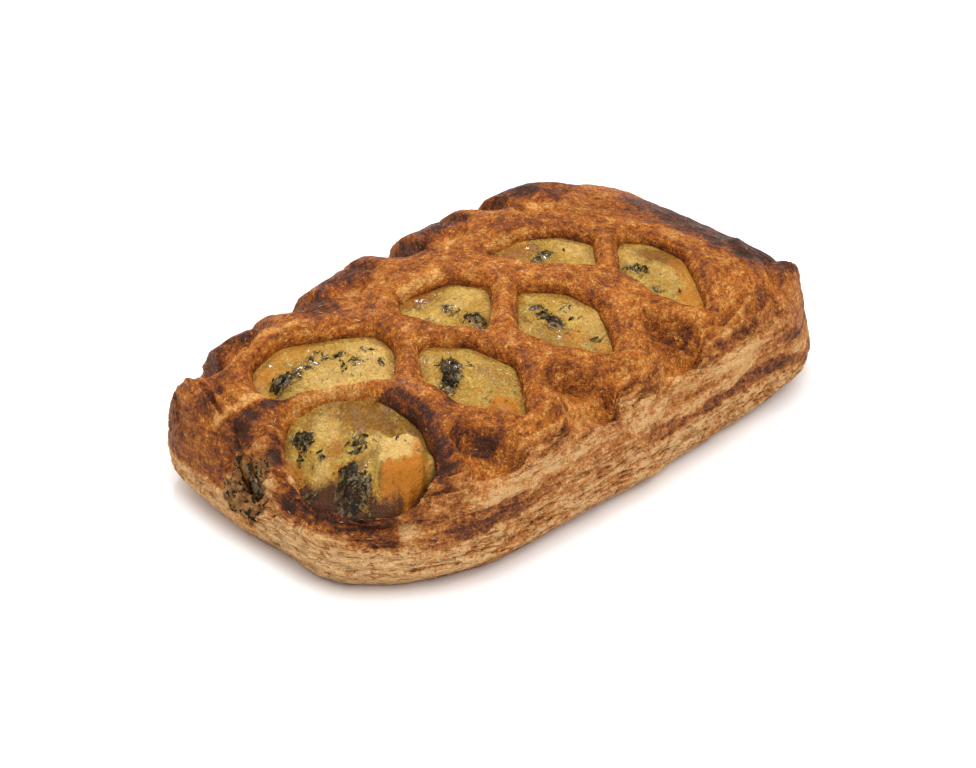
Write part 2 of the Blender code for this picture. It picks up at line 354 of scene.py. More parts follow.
@dataclass(frozen=True)
class SliceForm:
    """Outline, crown and sides of the slice, shared by every piece."""

    length: float = 149.0
    width: float = 90.0
    seam_z: float = 8.0
    rim_z: float = 17.0
    crown_z: float = 33.5
    # How flat the crown is on top: over the far and the near side, and over the far and the near end
    side_fullness: Pair = (4.0, 2.4)
    end_fullness: Pair = (2.3, 3.2)
    side_steepness: float = 0.5
    end_steepness: Pair = (0.5, 0.65)
    edge_wave: float = 1.3
    wave_length: float = 18.0
    bulge_z: float = 6.5
    foot_inset: float = 5.0
    foot_curve: float = 1.3
    lean: float = 0.22
    lean_start: float = 0.75
    slump: Spot = Spot(-75, -6, 28)
    slump_depth: float = 6.0
    notch_count: int = 4
    notch_first_x: float = -61.5
    notch_pitch: float = 31.2
    notch_shift: float = 3.0  # of the first notch
    notch_reach: Pair = (8.5, 3.6)  # towards the near and towards the far end
    notch_depth: float = 9.0
    notch_inset: float = 3.5
    notch_y: Rise = Rise(23, 15)
    nick_share: float = 0.3  # depth of the nick before each notch, as a share of the notch's
    nick_offset: float = -13.5
    nick_reach: float = 2.6
    grain: Grain = field(default_factory=lambda: Grain(3))

    # Superellipse exponents at the rim and at the foot, for each corner: at the far end, on the far side
    CORNERS = {
        (False, False): (3.4, 3.4),
        (False, True): (6.2, 3.6),
        (True, False): (6.0, 5.2),
        (True, True): (3.8, 4.0),
    }
    FOLDS = (
        Spot(65, -34.5, 6.5, 3.2, soft=0.7), Spot(48, 38, 15, 1.6, soft=1),
        Spot(68, -24, 10, 3.2, 1.2, 90, soft=1), Spot(-42, 41, 20, -3.4, 2, soft=1),
    )

    def squareness(self, x: Array, y: Array, z: Array | float) -> Array:
        """How square the plan is.

        Args:
            x, y, z: Where, in millimetres.

        Returns:
            The superellipse exponent at each place.
        """
        power = np.zeros(np.broadcast(x, y, z).shape)
        share = np.minimum(1.0, np.asarray(z) / self.rim_z)
        for (far_end, far_side), (at_rim, at_foot) in self.CORNERS.items():
            here = ((x > 0) == far_end) & ((y > 0) == far_side)
            power = np.where(here, mix(at_foot, at_rim, share), power)
        return power

    def plan(self, u: Array, v: Array, z: Array | float) -> tuple[Array, Array]:
        """Maps a square onto the plan.

        Args:
            u: Places along the square, from -1 to 1.
            v: Places across it.
            z: Height of the plan.

        Returns:
            Their x and y.
        """
        reach = np.maximum(np.maximum(np.abs(u), np.abs(v)), 1e-9)
        power = self.squareness(u, v, z)
        drawn_in = np.maximum(1.0, (np.abs(u / reach) ** power + np.abs(v / reach) ** power) ** (1 / power))
        return self.length / 2 * u / drawn_in, self.width / 2 * v / drawn_in

    def crown(self, x: Array, y: Array) -> Array:
        """Height of the baked sheet, without its strands.

        Args:
            x, y: Places on the slice.

        Returns:
            The height at each place.
        """
        power = self.squareness(x, y, self.rim_z)
        along, across = np.abs(x / (self.length / 2)) ** power, np.abs(y / (self.width / 2)) ** power
        reach = (along + across) ** (1 / power)
        share = along / np.maximum(along + across, 1e-12)
        fullness = mix(np.where(y > 0, *self.side_fullness), np.where(x > 0, *self.end_fullness), share)
        steepness = mix(self.side_steepness, np.where(x > 0, *self.end_steepness), share)
        rise = (self.crown_z - self.rim_z) * np.maximum(0.0, 1 - reach**fullness) ** steepness
        slumped = 1 - smooth_step(np.hypot(x - self.slump.x, y - self.slump.y) / self.slump.radius)
        return self.rim_z + rise - self.slump_depth * slumped

    def notch(self, x: Array, y: Array) -> Array:
        """The far side's notches between tucked strand ends.

        Args:
            x, y: Places on the slice.

        Returns:
            How far each place is into a notch, from 0 to about 1.
        """
        steps = np.clip(np.round((x - self.notch_first_x) / self.notch_pitch), 0, self.notch_count - 1)
        offset = x - self.notch_first_x - steps * self.notch_pitch - self.notch_shift * (steps == 0)
        before, after = self.notch_reach
        main = 1 - smooth_step(np.where(offset < 0, -offset / before, offset / after))
        nick = self.nick_share * (1 - smooth_step(np.abs(offset - self.nick_offset) / self.nick_reach))
        return (main + nick) * self.notch_y(y)

    def folds(self, x: Array, y: Array) -> Array:
        """Height of the folds of dough at the corners."""
        return paint(self.FOLDS, x, y)

    def side_inset(self, z: Array) -> Array:
        """How far the side stands in from its widest point."""
        tuck = np.clip(1 - z / self.bulge_z, 0, 1) ** self.foot_curve
        return np.where(z > self.bulge_z, self.lean * (z - self.bulge_z), self.foot_inset * tuck)

    def side(self, u: Array, v: Array, z: Array) -> tuple[Array, Array]:
        """Maps a square onto the slice's section at some height, with the hand-cut edge's waves.

        Args:
            u: Places along the square, from -1 to 1.
            v: Places across it.
            z: Height of the section.

        Returns:
            Their x and y.
        """
        x, y = self.plan(u, v, z)
        edge = np.maximum(np.abs(u), np.abs(v))
        inset = self.side_inset(z) * smooth_step((edge - self.lean_start) / (1 - self.lean_start))
        wave = self.edge_wave * edge**3
        wave_x, wave_y = x / self.wave_length, y / self.wave_length
        notched = self.notch_inset * self.notch(x, y) * z / self.rim_z
        # The offsets take two different parts of the noise
        return (
            x * (1 - inset / (self.length / 2)) + wave * self.grain(wave_x + 1.0, wave_y + 0.7, 0.3),
            y * (1 - inset / (self.width / 2)) + wave * self.grain(wave_x + 4.0, wave_y + 2.8, 0.3) - notched,
        )


FORM = SliceForm()


@dataclass(frozen=True)
class StrandProfile:
    """A strand's round back and the wall that it turns down towards a window."""

    rise: float = 2.7
    flank: float = 3.7
    wall: float = 1.9
    height: float = 3.6
    flat_height: float = 2.4
    turn: float = 142.0
    floor: float = -5.4
    narrowest: float = 1.7
    inner_run: float = 1.6  # distance over which the wall gives way to the floor

    def bend(self, distance: Array, half: Array, proud: Array) -> tuple[Array, Array, Array]:
        """Bends the sheet's edge round the strand.

        Args:
            distance: Distance outside the window's edge.
            half: Half of the strand's width, which limits how far its back is rounded.
            proud: 1 where the strand stands out, 0 where it lies flat.

        Returns:
            The distance at which each point ends up, its height above the sheet, and how far it has turned
            down into the window, from 0 to 1.
        """
        flank = np.clip(half, self.narrowest, self.flank)
        wall = self.wall * flank / self.flank
        share = np.clip((flank - distance) / (flank + wall), 0, 1)
        angle = np.radians(self.turn) * share
        moved = flank * (1 - np.sin(angle))
        rise = self.rise * proud
        height = rise - mix(self.flat_height, self.height, proud) * (1 - np.cos(angle))
        inner = smooth_step((-wall - distance) / self.inner_run)
        moved = mix(moved, distance, inner)
        height = mix(height, self.floor, inner)
        outside = distance >= flank
        return np.where(outside, distance, moved), np.where(outside, rise, height), share


class Lattice:
    """The strands: what the cells leave of the sheet."""

    OPEN = OPEN_CELLS
    CLOSED = (*TUCKED_CELLS, *PINCHED_CELLS)
    STEP = 0.05  # over which a slope is measured
    # Where the near end's rim has slumped flat, over -x and -y, and how much of its strands is lost there
    LOW_RIM = (Rise(58, 6), Rise(17, 9))
    LOW_RIM_LOSS = 0.85
    # The closed cells: how deep, towards which side they are deepest, and how far from the middle that is
    DEPTH = {CellKind.TUCKED: 7.6, CellKind.PINCHED: 5.5}
    DEEPEST_SIDE = {CellKind.TUCKED: (0.72, 0.69), CellKind.PINCHED: (-0.4, -0.92)}
    DEEPEST_REACH = 8
    FLOOR_SLOPE = (0.58, 0.42)  # share of the depth at the middle, and how much more at the deepest side
    MARGIN = 0.8  # how far the fall starts outside the cell
    FALL_RUN = (5, 2.4)  # how far it reaches on the shallow and on the deep side
    INSIDE = Rise(-0.8, 1.2)
    WALL_END = Rise(1.6, 1.8)
    WALL_SIDE = Rise(-0.2, 0.5)
    PATCH = Rise(1.2, 1.6)

    def __init__(self, profile: StrandProfile) -> None:
        """Keeps the strands' profile."""
        self.profile = profile

    @staticmethod
    def nearest(cells: Sequence[Cell], x: Array, y: Array) -> tuple[Array, Array]:
        """The distance outside the nearest of the cells, and which one it is."""
        distances = np.stack([cell.distance(x, y) for cell in cells])
        return distances.min(0), distances.argmin(0)

    def open_distance(self, x: Array, y: Array) -> Array:
        """Distance outside the nearest window."""
        return self.nearest(self.OPEN, x, y)[0]

    def half_width(self, x: Array, y: Array) -> Array:
        """Half of the strand's width at each place, from the two nearest cells."""
        distances = np.sort(np.stack([cell.distance(x, y) for cell in (*self.OPEN, *self.CLOSED)]), axis=0)
        return (distances[0] + distances[1]) / 2

    def proud(self, x: Array, y: Array) -> Array:
        """1 where strands stand out of the sheet, less at the slumped near end."""
        return 1 - self.LOW_RIM_LOSS * meet(self.LOW_RIM, -x, -y)

    def away(self, x: Array, y: Array) -> tuple[Array, Array]:
        """Finds the direction that leads away from the nearest window.

        Args:
            x, y: Places on the slice.

        Returns:
            The direction's x and y at each place.
        """
        step = self.STEP
        dx = self.open_distance(x + step, y) - self.open_distance(x - step, y)
        dy = self.open_distance(x, y + step) - self.open_distance(x, y - step)
        size = np.maximum(np.hypot(dx, dy), 1e-9)
        return dx / size, dy / size

    def tuck(self, x: Array, y: Array) -> tuple[Array, Array, Array]:
        """The closed cells: steep below the strand on their inner side, easing out towards the slice's edge.

        Args:
            x, y: Places on the slice.

        Returns:
            The height that they take away, how much of each place is their steep wall, and how much their
            floor.
        """
        depth, recess, patch = (np.zeros(np.shape(x)) for _ in range(3))
        middle, gain = self.FLOOR_SLOPE
        for cell in self.CLOSED:
            inside = -cell.distance(x, y)
            side_x, side_y = self.DEEPEST_SIDE[cell.kind]
            offset = (x - cell.centre[0]) * side_x + (y - cell.centre[1]) * side_y
            inner = np.clip(offset / self.DEEPEST_REACH, -1, 1)
            run = mix(*self.FALL_RUN, smooth_step(inner + 0.5))
            fall = smooth_step((inside + self.MARGIN) / run)
            depth = np.maximum(depth, self.DEPTH[cell.kind] * (middle + gain * inner) * fall)
            wall = self.INSIDE(inside) * (1 - self.WALL_END(inside)) * self.WALL_SIDE(inner)
            recess = np.maximum(recess, wall)
            patch = np.maximum(patch, self.PATCH(inside) * (1 - wall))
        return depth, recess, patch


# ---- Meshes ----


def walls(loops: Sequence[Array]) -> list[Array]:
    """Four-sided faces between each loop of points and the next one below it."""
    return [
        np.stack([lower, np.roll(lower, -1), np.roll(upper, -1), upper], -1)
        for upper, lower in zip(loops, loops[1:])
    ]


def cap(loop: Array, centre: int) -> Array:
    """Three-sided faces between a loop of points and a centre, turned up."""
    return np.stack([loop, np.roll(loop, -1), np.full(len(loop), centre)], -1)


@dataclass
class Shell:
    """Points and faces of a closed block: a top grid, a side of several rings and a flat bottom."""

    columns: int
    rows: int
    levels: int
    edge_density: float = 0.0  # how much closer together the points are towards the rim

    def grid(self) -> tuple[Array, Array]:
        """(u, v) of the top's points, from -1 to 1."""
        axes = []
        for count in (self.columns, self.rows):
            even = np.linspace(-1, 1, count + 1)
            axes.append(mix(even, np.sin(even * math.pi / 2), self.edge_density))
        return tuple(axis.ravel() for axis in np.meshgrid(*axes))

    def rim(self) -> Array:
        """Numbers of the top's outer points, in order round it."""
        wide, high = self.columns + 1, self.rows + 1
        near = np.arange(wide)
        far_end = np.arange(1, high) * wide + wide - 1
        far = (high - 1) * wide + np.arange(wide - 2, -1, -1)
        near_end = np.arange(high - 2, 0, -1) * wide
        return np.concatenate([near, far_end, far, near_end])

    def faces(self, top_count: int) -> list[tuple[int, ...]]:
        """All faces, turned outwards.

        Args:
            top_count: How many points the top has.

        Returns:
            The numbers of each face's points.
        """
        wide = self.columns + 1
        corner = (np.arange(self.rows)[:, None] * wide + np.arange(self.columns)).ravel()
        quads = np.stack([corner, corner + 1, corner + 1 + wide, corner + wide], -1)
        rim = self.rim()
        count = len(rim)
        rings = [rim, *(top_count + count * level + np.arange(count) for level in range(self.levels))]
        bottom = cap(rings[-1], top_count + count * self.levels)[:, [1, 0, 2]]
        return np.concatenate([quads, *walls(rings)]).tolist() + bottom.tolist()


def make_mesh(name: str, points: Array, faces: Sequence[Sequence[int]]) -> Piece:
    """Makes a smooth-shaded mesh object and links it to the scene.

    Args:
        name: The piece's name.
        points: Its points, in millimetres.
        faces: The numbers of each face's points.

    Returns:
        The object, with its mesh in metres.
    """
    mesh = bpy.data.meshes.new(name)
    mesh.from_pydata((points * MM).tolist(), [], faces)
    mesh.update()
    mesh.shade_smooth()
    piece = bpy.data.objects.new(name, mesh)
    bpy.context.scene.collection.objects.link(piece)
    return piece


def store(piece: Piece, name: str, values: Array) -> None:
    """Keeps a number or a vector for each point of a piece.

    Args:
        piece: The piece.
        name: What the value is called in the node trees.
        values: One number, or one row of three, for each point.
    """
    kind = "FLOAT_VECTOR" if values.ndim == 2 else "FLOAT"
    attribute = piece.data.attributes.new(name, kind, "POINT")
    attribute.data.foreach_set("vector" if values.ndim == 2 else "value", values.astype(np.float32).ravel())


# ---- Node trees ----


class Value:
    """A node's output socket that takes part in expressions."""

    def __init__(self, sheet: NodeSheet, socket: bpy.types.NodeSocket) -> None:
        """Keeps the socket and the tree it is in."""
        self.sheet = sheet
        self.socket = socket

    def _maths(self, operation: str, *operands: Any) -> Value:
        """Adds one Math node."""
        return self.sheet.node("ShaderNodeMath", {"operation": operation}, dict(enumerate(operands)))

    def __add__(self, other: Any) -> Value:
        """Sum."""
        return self._maths("ADD", self, other)

    def __radd__(self, other: Any) -> Value:
        """Sum with a number on the left."""
        return self._maths("ADD", other, self)

    def __sub__(self, other: Any) -> Value:
        """Difference."""
        return self._maths("SUBTRACT", self, other)

    def __rsub__(self, other: Any) -> Value:
        """Difference from a number."""
        return self._maths("SUBTRACT", other, self)

    def __mul__(self, other: Any) -> Value:
        """Product."""
        return self._maths("MULTIPLY", self, other)

    def __rmul__(self, other: Any) -> Value:
        """Product with a number on the left."""
        return self._maths("MULTIPLY", other, self)

    def clamped(self) -> Value:
        """Held between 0 and 1."""
        return self._maths("MAXIMUM", self._maths("MINIMUM", self, 1.0), 0.0)

    def larger(self, other: Any) -> Value:
        """The larger of the two."""
        return self._maths("MAXIMUM", self, other)

    def ramp(self, low: float, high: float) -> Value:
        """0 at low, 1 at high, with soft ends."""
        inputs = {"Value": self, "From Min": low, "From Max": high}
        return self.sheet.node("ShaderNodeMapRange", {"interpolation_type": "SMOOTHSTEP"}, inputs)


class NodeSheet:
    """One node tree that is being written."""

    def __init__(self, tree: bpy.types.NodeTree) -> None:
        """Starts on an empty tree."""
        self.tree = tree
        tree.nodes.clear()

    def node(
        self, kind: str, settings: dict[str, Any] | None = None, inputs: dict[Any, Any] | None = None
    ) -> Value:
        """Adds a node.

        Args:
            kind: The node's type.
            settings: Its properties, set first. The stops of a ramp are its "stops".
            inputs: Values or links of its sockets, by name or number.

        Returns:
            Its first output that is in use.
        """
        made = self.tree.nodes.new(kind)
        for name, setting in (settings or {}).items():
            if name == "stops":
                self._set_stops(made.color_ramp, setting)
            else:
                setattr(made, name, setting)
        for name, value in (inputs or {}).items():
            socket = self._socket(made.inputs, name)
            if isinstance(value, Value):
                self.tree.links.new(value.socket, socket)
            else:
                socket.default_value = value
        outputs = [socket for socket in made.outputs if socket.enabled]
        return Value(self, outputs[0]) if outputs else Value(self, None)

    @staticmethod
    def _socket(sockets: Any, name: Any) -> bpy.types.NodeSocket:
        """The socket of that number, or the one in use of that name."""
        if isinstance(name, int):
            return sockets[name]
        named = [socket for socket in sockets if socket.name == name]
        return next((socket for socket in named if socket.enabled), named[0])

    @staticmethod
    def _set_stops(ramp: bpy.types.ColorRamp, stops: Sequence[tuple[float, Colour]]) -> None:
        """Writes a ramp's stops."""
        ramp.elements[0].position, ramp.elements[-1].position = stops[0][0], stops[-1][0]
        for position, _ in stops[1:-1]:
            ramp.elements.new(position)
        for element, (position, colour) in zip(ramp.elements, stops):
            element.position = position
            element.color = (*colour, 1.0)

    def output(self, value: Value, name: str) -> Value:
        """Another output of the node that a value comes from."""
        return Value(self, self._socket(value.socket.node.outputs, name))

    def scaled(self, place: Value, factors: Triple) -> Value:
        """A place multiplied along each axis."""
        return self.node("ShaderNodeVectorMath", {"operation": "MULTIPLY"}, {0: place, 1: factors})

    def lines(self, cloud: Value, sharpness: float) -> Value:
        """Thin lines, 1 in their middle, where cloudy noise passes its mean."""
        away = self.node("ShaderNodeMath", {"operation": "ABSOLUTE"}, {0: cloud - 0.5})
        return (1.0 - away * sharpness).clamped()


class FinishSheet(NodeSheet):
    """The shader tree of one material."""

    # The Mix node's colour sockets, which share their names with its others
    MIX_COLOURS = (6, 7)
    MIX_RESULT = 2

    def __init__(self, name: str) -> None:
        """Makes the material with an empty tree."""
        self.material = bpy.data.materials.new(name)
        self.material.use_nodes = True
        super().__init__(self.material.node_tree)
        self.position = self.output(self.node("ShaderNodeTexCoord"), "Object")

    def attribute(self, name: str) -> Value:
        """A number stored on the piece."""
        return self.output(self.node("ShaderNodeAttribute", {"attribute_name": name}), "Fac")

    def vector_attribute(self, name: str) -> Value:
        """A vector stored on the piece."""
        return self.output(self.node("ShaderNodeAttribute", {"attribute_name": name}), "Vector")

    def noise(
        self, place: Value, scale: float, detail: float, roughness: float, distortion: float = 0.0
    ) -> Value:
        """Cloudy noise: clouds to a metre, finer layers, their strength, and how much they are twisted."""
        look = {"Scale": scale, "Detail": detail, "Roughness": roughness, "Distortion": distortion}
        return self.node("ShaderNodeTexNoise", {"noise_dimensions": "3D"}, {"Vector": place, **look})

    def cell_random(self, place: Value, scale: float) -> Value:
        """A random number for each cell of an uneven pattern."""
        cells = self.node("ShaderNodeTexVoronoi", {"feature": "F1"}, {"Vector": place, "Scale": scale})
        return self.node("ShaderNodeSeparateColor", {}, {"Color": self.output(cells, "Color")})

    def warped(self, place: Value, scale: float, shift: float) -> Value:
        """Moves a place about, so that patterns there get ragged.

        Args:
            place: The place.
            scale: How many bends go into a metre.
            shift: The furthest that it moves, in metres.

        Returns:
            The moved place.
        """
        cloud = self.output(self.noise(place, scale, 2.0, 0.6), "Color")
        centred = self.node("ShaderNodeVectorMath", {"operation": "SUBTRACT"}, {0: cloud, 1: (0.5, 0.5, 0.5)})
        offset = self.node("ShaderNodeVectorMath", {"operation": "SCALE"}, {0: centred, "Scale": shift * 2})
        return self.node("ShaderNodeVectorMath", {"operation": "ADD"}, {0: place, 1: offset})

    def ramp(self, value: Value, stops: Sequence[tuple[float, Colour]]) -> Value:
        """A colour from a number."""
        return self.node("ShaderNodeValToRGB", {"stops": stops}, {"Fac": value})

    def blend(self, share: Any, first: Any, second: Any) -> Value:
        """Lays one colour over another.

        Args:
            share: How much the second colour covers, held between 0 and 1.
            first: The colour below.
            second: The colour on top.

        Returns:
            The blended colour.
        """
        settings = {"data_type": "RGBA", "blend_type": "MIX", "clamp_factor": True}
        colours = (
            (number, colour if isinstance(colour, Value) else (*colour, 1.0))
            for number, colour in zip(self.MIX_COLOURS, (first, second))
        )
        made = self.node("ShaderNodeMix", settings, {0: share, **dict(colours)})
        return Value(self, made.socket.node.outputs[self.MIX_RESULT])

    def bump(self, height: Value, depth: float, strength: float) -> Value:
        """Fine relief, depth metres deep."""
        return self.node("ShaderNodeBump", {}, {"Height": height, "Distance": depth, "Strength": strength})

    def finish(self, **inputs: Any) -> Material:
        """Closes the tree with a Principled shader.

        Args:
            **inputs: Its sockets by name, with spaces written as underscores.

        Returns:
            The finished material.
        """
        named = {name.replace("_", " "): value for name, value in inputs.items()}
        if isinstance(named["Base Color"], tuple):
            named["Base Color"] = (*named["Base Color"], 1.0)
        shader = self.node("ShaderNodeBsdfPrincipled", {}, named)
        self.node("ShaderNodeOutputMaterial", {}, {"Surface": shader})
        return self.material


# ---- Finishes ----


@dataclass(frozen=True)
class PastryFinish:
    """Baked puff pastry: glazed on top, dry and flaky where it was cut or torn."""

    name: str = "baked_pastry"
    # Colours from barely baked, at 0, to burnt, at 1
    glazed: tuple[tuple[float, Colour], ...] = (
        (0, (0.66, 0.32, 0.092)),
        (0.22, (0.5, 0.172, 0.028)),
        (0.42, (0.375, 0.102, 0.012)),
        (0.6, (0.245, 0.066, 0.015)),
        (0.78, (0.14, 0.04, 0.019)),
        (1, (0.055, 0.023, 0.014)),
    )
    dry: tuple[tuple[float, Colour], ...] = (
        (0, (0.68, 0.4, 0.178)),
        (0.25, (0.52, 0.216, 0.066)),
        (0.5, (0.385, 0.138, 0.038)),
        (0.72, (0.2, 0.068, 0.028)),
        (1, (0.075, 0.028, 0.018)),
    )
    spilled: tuple[Colour, Colour] = ((0.42, 0.205, 0.075), (0.2, 0.085, 0.028))
    leaf: Colour = (0.026, 0.024, 0.012)
    # How many marks of each pattern go into a metre; stretched ones have more through the sheet
    mottle_scale: float = 330.0
    fine_scale: float = 1200.0
    glint_speck_scale: float = 2100.0
    curl_scale: float = 620.0
    leaf_scale: float = 1100.0
    fibre_scale: Triple = (420.0, 420.0, 1300.0)
    vein_scale: Triple = (170.0, 170.0, 900.0)
    dash_scale: Triple = (430.0, 430.0, 1900.0)
    vein_sharpness: float = 24.0
    curl_sharpness: float = 22.0
    # How strongly each pattern darkens or lightens the bake; the glint specks lighten it as painted
    # highlights
    mottle_share: float = 1.15
    layers_evenness: float = 0.5
    fine_share: float = 1.1
    fibre_shares: Pair = (0.6, 0.5)  # on whole skin, and what torn layers add
    dash_share: float = 0.26
    crest_share: float = 0.3
    vein_share: float = 0.22
    curl_share: float = 0.36
    glint_speck_share: float = 0.12
    lift: float = 0.11
    relief_depth: float = 0.0011
    coat: float = 0.06

    def material(self) -> Material:
        """Builds the material."""
        sheet = FinishSheet(self.name)
        place, grain = sheet.position, sheet.vector_attribute("grain")
        bake, glaze, crest = (sheet.attribute(name) for name in ("bake", "glaze", "crest"))
        layered, pitted, spill = (sheet.attribute(name) for name in ("layered", "pitted", "spill"))
        mottle = sheet.noise(place, self.mottle_scale, 3.0, 0.65)
        fine = sheet.noise(place, self.fine_scale, 2.0, 0.75)
        fibres = sheet.noise(sheet.scaled(grain, self.fibre_scale), 1.0, 2.0, 0.65)
        veins = sheet.noise(sheet.scaled(grain, self.vein_scale), 1.0, 2.0, 0.6, 0.8)
        veins = sheet.lines(veins, self.vein_sharpness) * (0.6 + layered * 0.4)
        # Glint specks: tiny pale flecks, painted highlights where flake edges catch the light
        glint_specks = sheet.noise(place, self.glint_speck_scale, 1.0, 0.5).ramp(0.56, 0.7)
        dashes = sheet.noise(sheet.scaled(grain, self.dash_scale), 1.0, 0.0, 0.5, 0.4)
        dashes = dashes.ramp(0.6, 0.68) * pitted
        curls = sheet.noise(sheet.warped(place, 420.0, 0.002), self.curl_scale, 1.0, 0.5)
        curls = sheet.lines(curls, self.curl_sharpness) * (0.4 + glaze * 0.6)

        whole, torn = self.fibre_shares
        fibre_share = whole + layered * torn
        tone = bake + (mottle - 0.5) * (self.mottle_share - layered * self.layers_evenness)
        tone = tone + (fibres - 0.5) * fibre_share + (fine - 0.5) * self.fine_share
        tone = tone + dashes * self.dash_share - crest * self.crest_share - veins * self.vein_share
        tone = (tone - curls * self.curl_share - glint_specks * self.glint_speck_share + self.lift).clamped()
        colour = sheet.blend(glaze, sheet.ramp(tone, self.dry), sheet.ramp(tone, self.glazed))
        leaf = sheet.cell_random(sheet.warped(place, 700.0, 0.0014), self.leaf_scale)
        custard = sheet.blend(mottle.ramp(0.4, 0.6), *self.spilled)
        spilled = sheet.blend(leaf.ramp(0.75, 0.81), custard, self.leaf)
        colour = sheet.blend((spill + (mottle - 0.5)).ramp(0.3, 0.6), colour, spilled)

        relief = fibres * fibre_share + fine * 0.55 + mottle * 0.5 + veins * 0.12 + curls * 0.3
        relief = relief - dashes * 0.6 + leaf * spill
        return sheet.finish(
            Base_Color=colour,
            Roughness=0.62 - glaze * 0.15 + (fine - 0.5) * 0.4,
            Normal=sheet.bump(relief, self.relief_depth, 1.0),
            Coat_Weight=glaze * self.coat,
            Coat_Roughness=0.3,
            Specular_IOR_Level=0.04,
        )


@dataclass(frozen=True)
class FillingFinish:
    """Cheese custard with spinach, wet on top and browned where it met the oven's heat."""

    name: str = "spinach_feta_custard"
    custard: Colour = (0.45, 0.24, 0.036)
    green: Colour = (0.52, 0.355, 0.08)
    cream: Colour = (0.7, 0.46, 0.15)
    olive: Colour = (0.2, 0.08, 0.01)
    toast: Colour = (0.44, 0.15, 0.014)
    scorch: Colour = (0.078, 0.027, 0.011)
    spinach: Colour = (0.018, 0.014, 0.005)
    leaf_light: Colour = (0.16, 0.098, 0.032)
    browned: Colour = (0.22, 0.1, 0.02)
    # How many marks of each pattern go into a metre
    cloud_scale: float = 190.0
    curd_scale: float = 420.0
    fine_scale: float = 1000.0
    grit_scale: float = 2300.0
    shred_scale: Triple = (700.0, 450.0, 500.0)
    bit_scale: float = 950.0
    fleck_scale: float = 1300.0
    # How ragged the painted places' edges are, from each pattern
    fine_edge: float = 1.7
    curd_edge: float = 1.2
    browned_edges: Pair = (0.65, 1.2)  # from both of those together, and from the grit
    relief_depth: float = 0.0010

    def material(self) -> Material:
        """Builds the material."""
        sheet = FinishSheet(self.name)
        place = sheet.position
        cream, film, toast, scorch, leaf = (sheet.attribute(name) for name in COVERS)
        cloud = sheet.noise(place, self.cloud_scale, 3.0, 0.6)
        curd = sheet.noise(sheet.warped(place, 300.0, 0.003), self.curd_scale, 3.0, 0.65)
        fine = sheet.noise(place, self.fine_scale, 3.0, 0.65)
        grit = sheet.noise(place, self.grit_scale, 2.0, 0.7)
        shred = sheet.noise(sheet.scaled(place, self.shred_scale), 1.0, 3.0, 0.7, 0.6)
        uneven = (fine - 0.5) * self.fine_edge + (curd - 0.5) * self.curd_edge

        colour = sheet.blend(curd.ramp(0.42, 0.6), self.custard, self.green)
        colour = sheet.blend((cloud - 0.38) * 1.3 + uneven * 0.5, colour, self.olive)
        creamy = (cream * 0.8 + uneven - 0.06).clamped() * cream.ramp(0.02, 0.3)
        colour = sheet.blend(creamy, colour, self.cream)
        colour = sheet.blend((fine - 0.47) * 1.9, colour, self.browned)
        colour = sheet.blend((grit - 0.52) * 2.8, colour, self.browned)
        colour = sheet.blend((0.45 - grit) * 3.0, colour, self.cream)
        broad, gritty = self.browned_edges
        for cover, over in ((film, self.olive), (toast, self.toast), (scorch, self.scorch)):
            share = (cover + uneven * broad + (grit - 0.5) * gritty).clamped()
            colour = sheet.blend(share * cover.ramp(0.02, 0.3), colour, over)

        bits = sheet.cell_random(sheet.warped(place, 600.0, 0.0018), self.bit_scale)
        stain = (leaf * 0.75 + bits * 0.7 + (shred - 0.5) * 0.9).ramp(0.86, 1.0) * leaf.ramp(0.03, 0.2)
        shade = sheet.blend((fine * 0.9 + bits * 0.4).ramp(0.66, 0.82), self.spinach, self.leaf_light)
        flecks = sheet.cell_random(sheet.warped(place, 900.0, 0.0012), self.fleck_scale).ramp(0.92, 0.95)
        colour = sheet.blend(stain.larger(flecks * (curd - 0.4) * 3.0), colour, shade)
        relief = cloud + curd * 0.8 + fine * 0.6 + grit * 0.3 + shred * leaf + stain * (0.3 + bits * 1.2)
        wet_leaf, wet_film = stain * bits.ramp(0.55, 0.75) * 0.7, film * curd.ramp(0.5, 0.6) * 0.6
        return sheet.finish(
            Base_Color=colour,
            Roughness=0.48 - stain * 0.14 + (fine - 0.5) * 0.4,
            Normal=sheet.bump(relief, self.relief_depth, 1.0),
            Coat_Weight=(cloud - 0.5).clamped() + wet_leaf + wet_film,
            Coat_Roughness=0.12,
            Specular_IOR_Level=0.1,
        )


@dataclass(frozen=True)
class LeafFinish:
    """Cooked spinach, nearly black and wet."""

    name: str = "cooked_spinach"
    dark: Colour = (0.02, 0.013, 0.005)
    light: Colour = (0.17, 0.105, 0.034)

    def material(self) -> Material:
        """Builds the material."""
        sheet = FinishSheet(self.name)
        cloud = sheet.noise(sheet.position, 900.0, 3.0, 0.6)
        fine = sheet.noise(sheet.position, 1700.0, 2.0, 0.6)
        colour = sheet.blend(cloud.ramp(0.46, 0.66), self.dark, self.light)
        return sheet.finish(
            Base_Color=colour,
            Roughness=0.34 + (fine - 0.5) * 0.3,
            Normal=sheet.bump(cloud + fine * 0.5, 0.0004, 0.8),
            Coat_Weight=cloud.ramp(0.48, 0.62) * 0.5,
            Coat_Roughness=0.08,
            Specular_IOR_Level=0.04,
        )


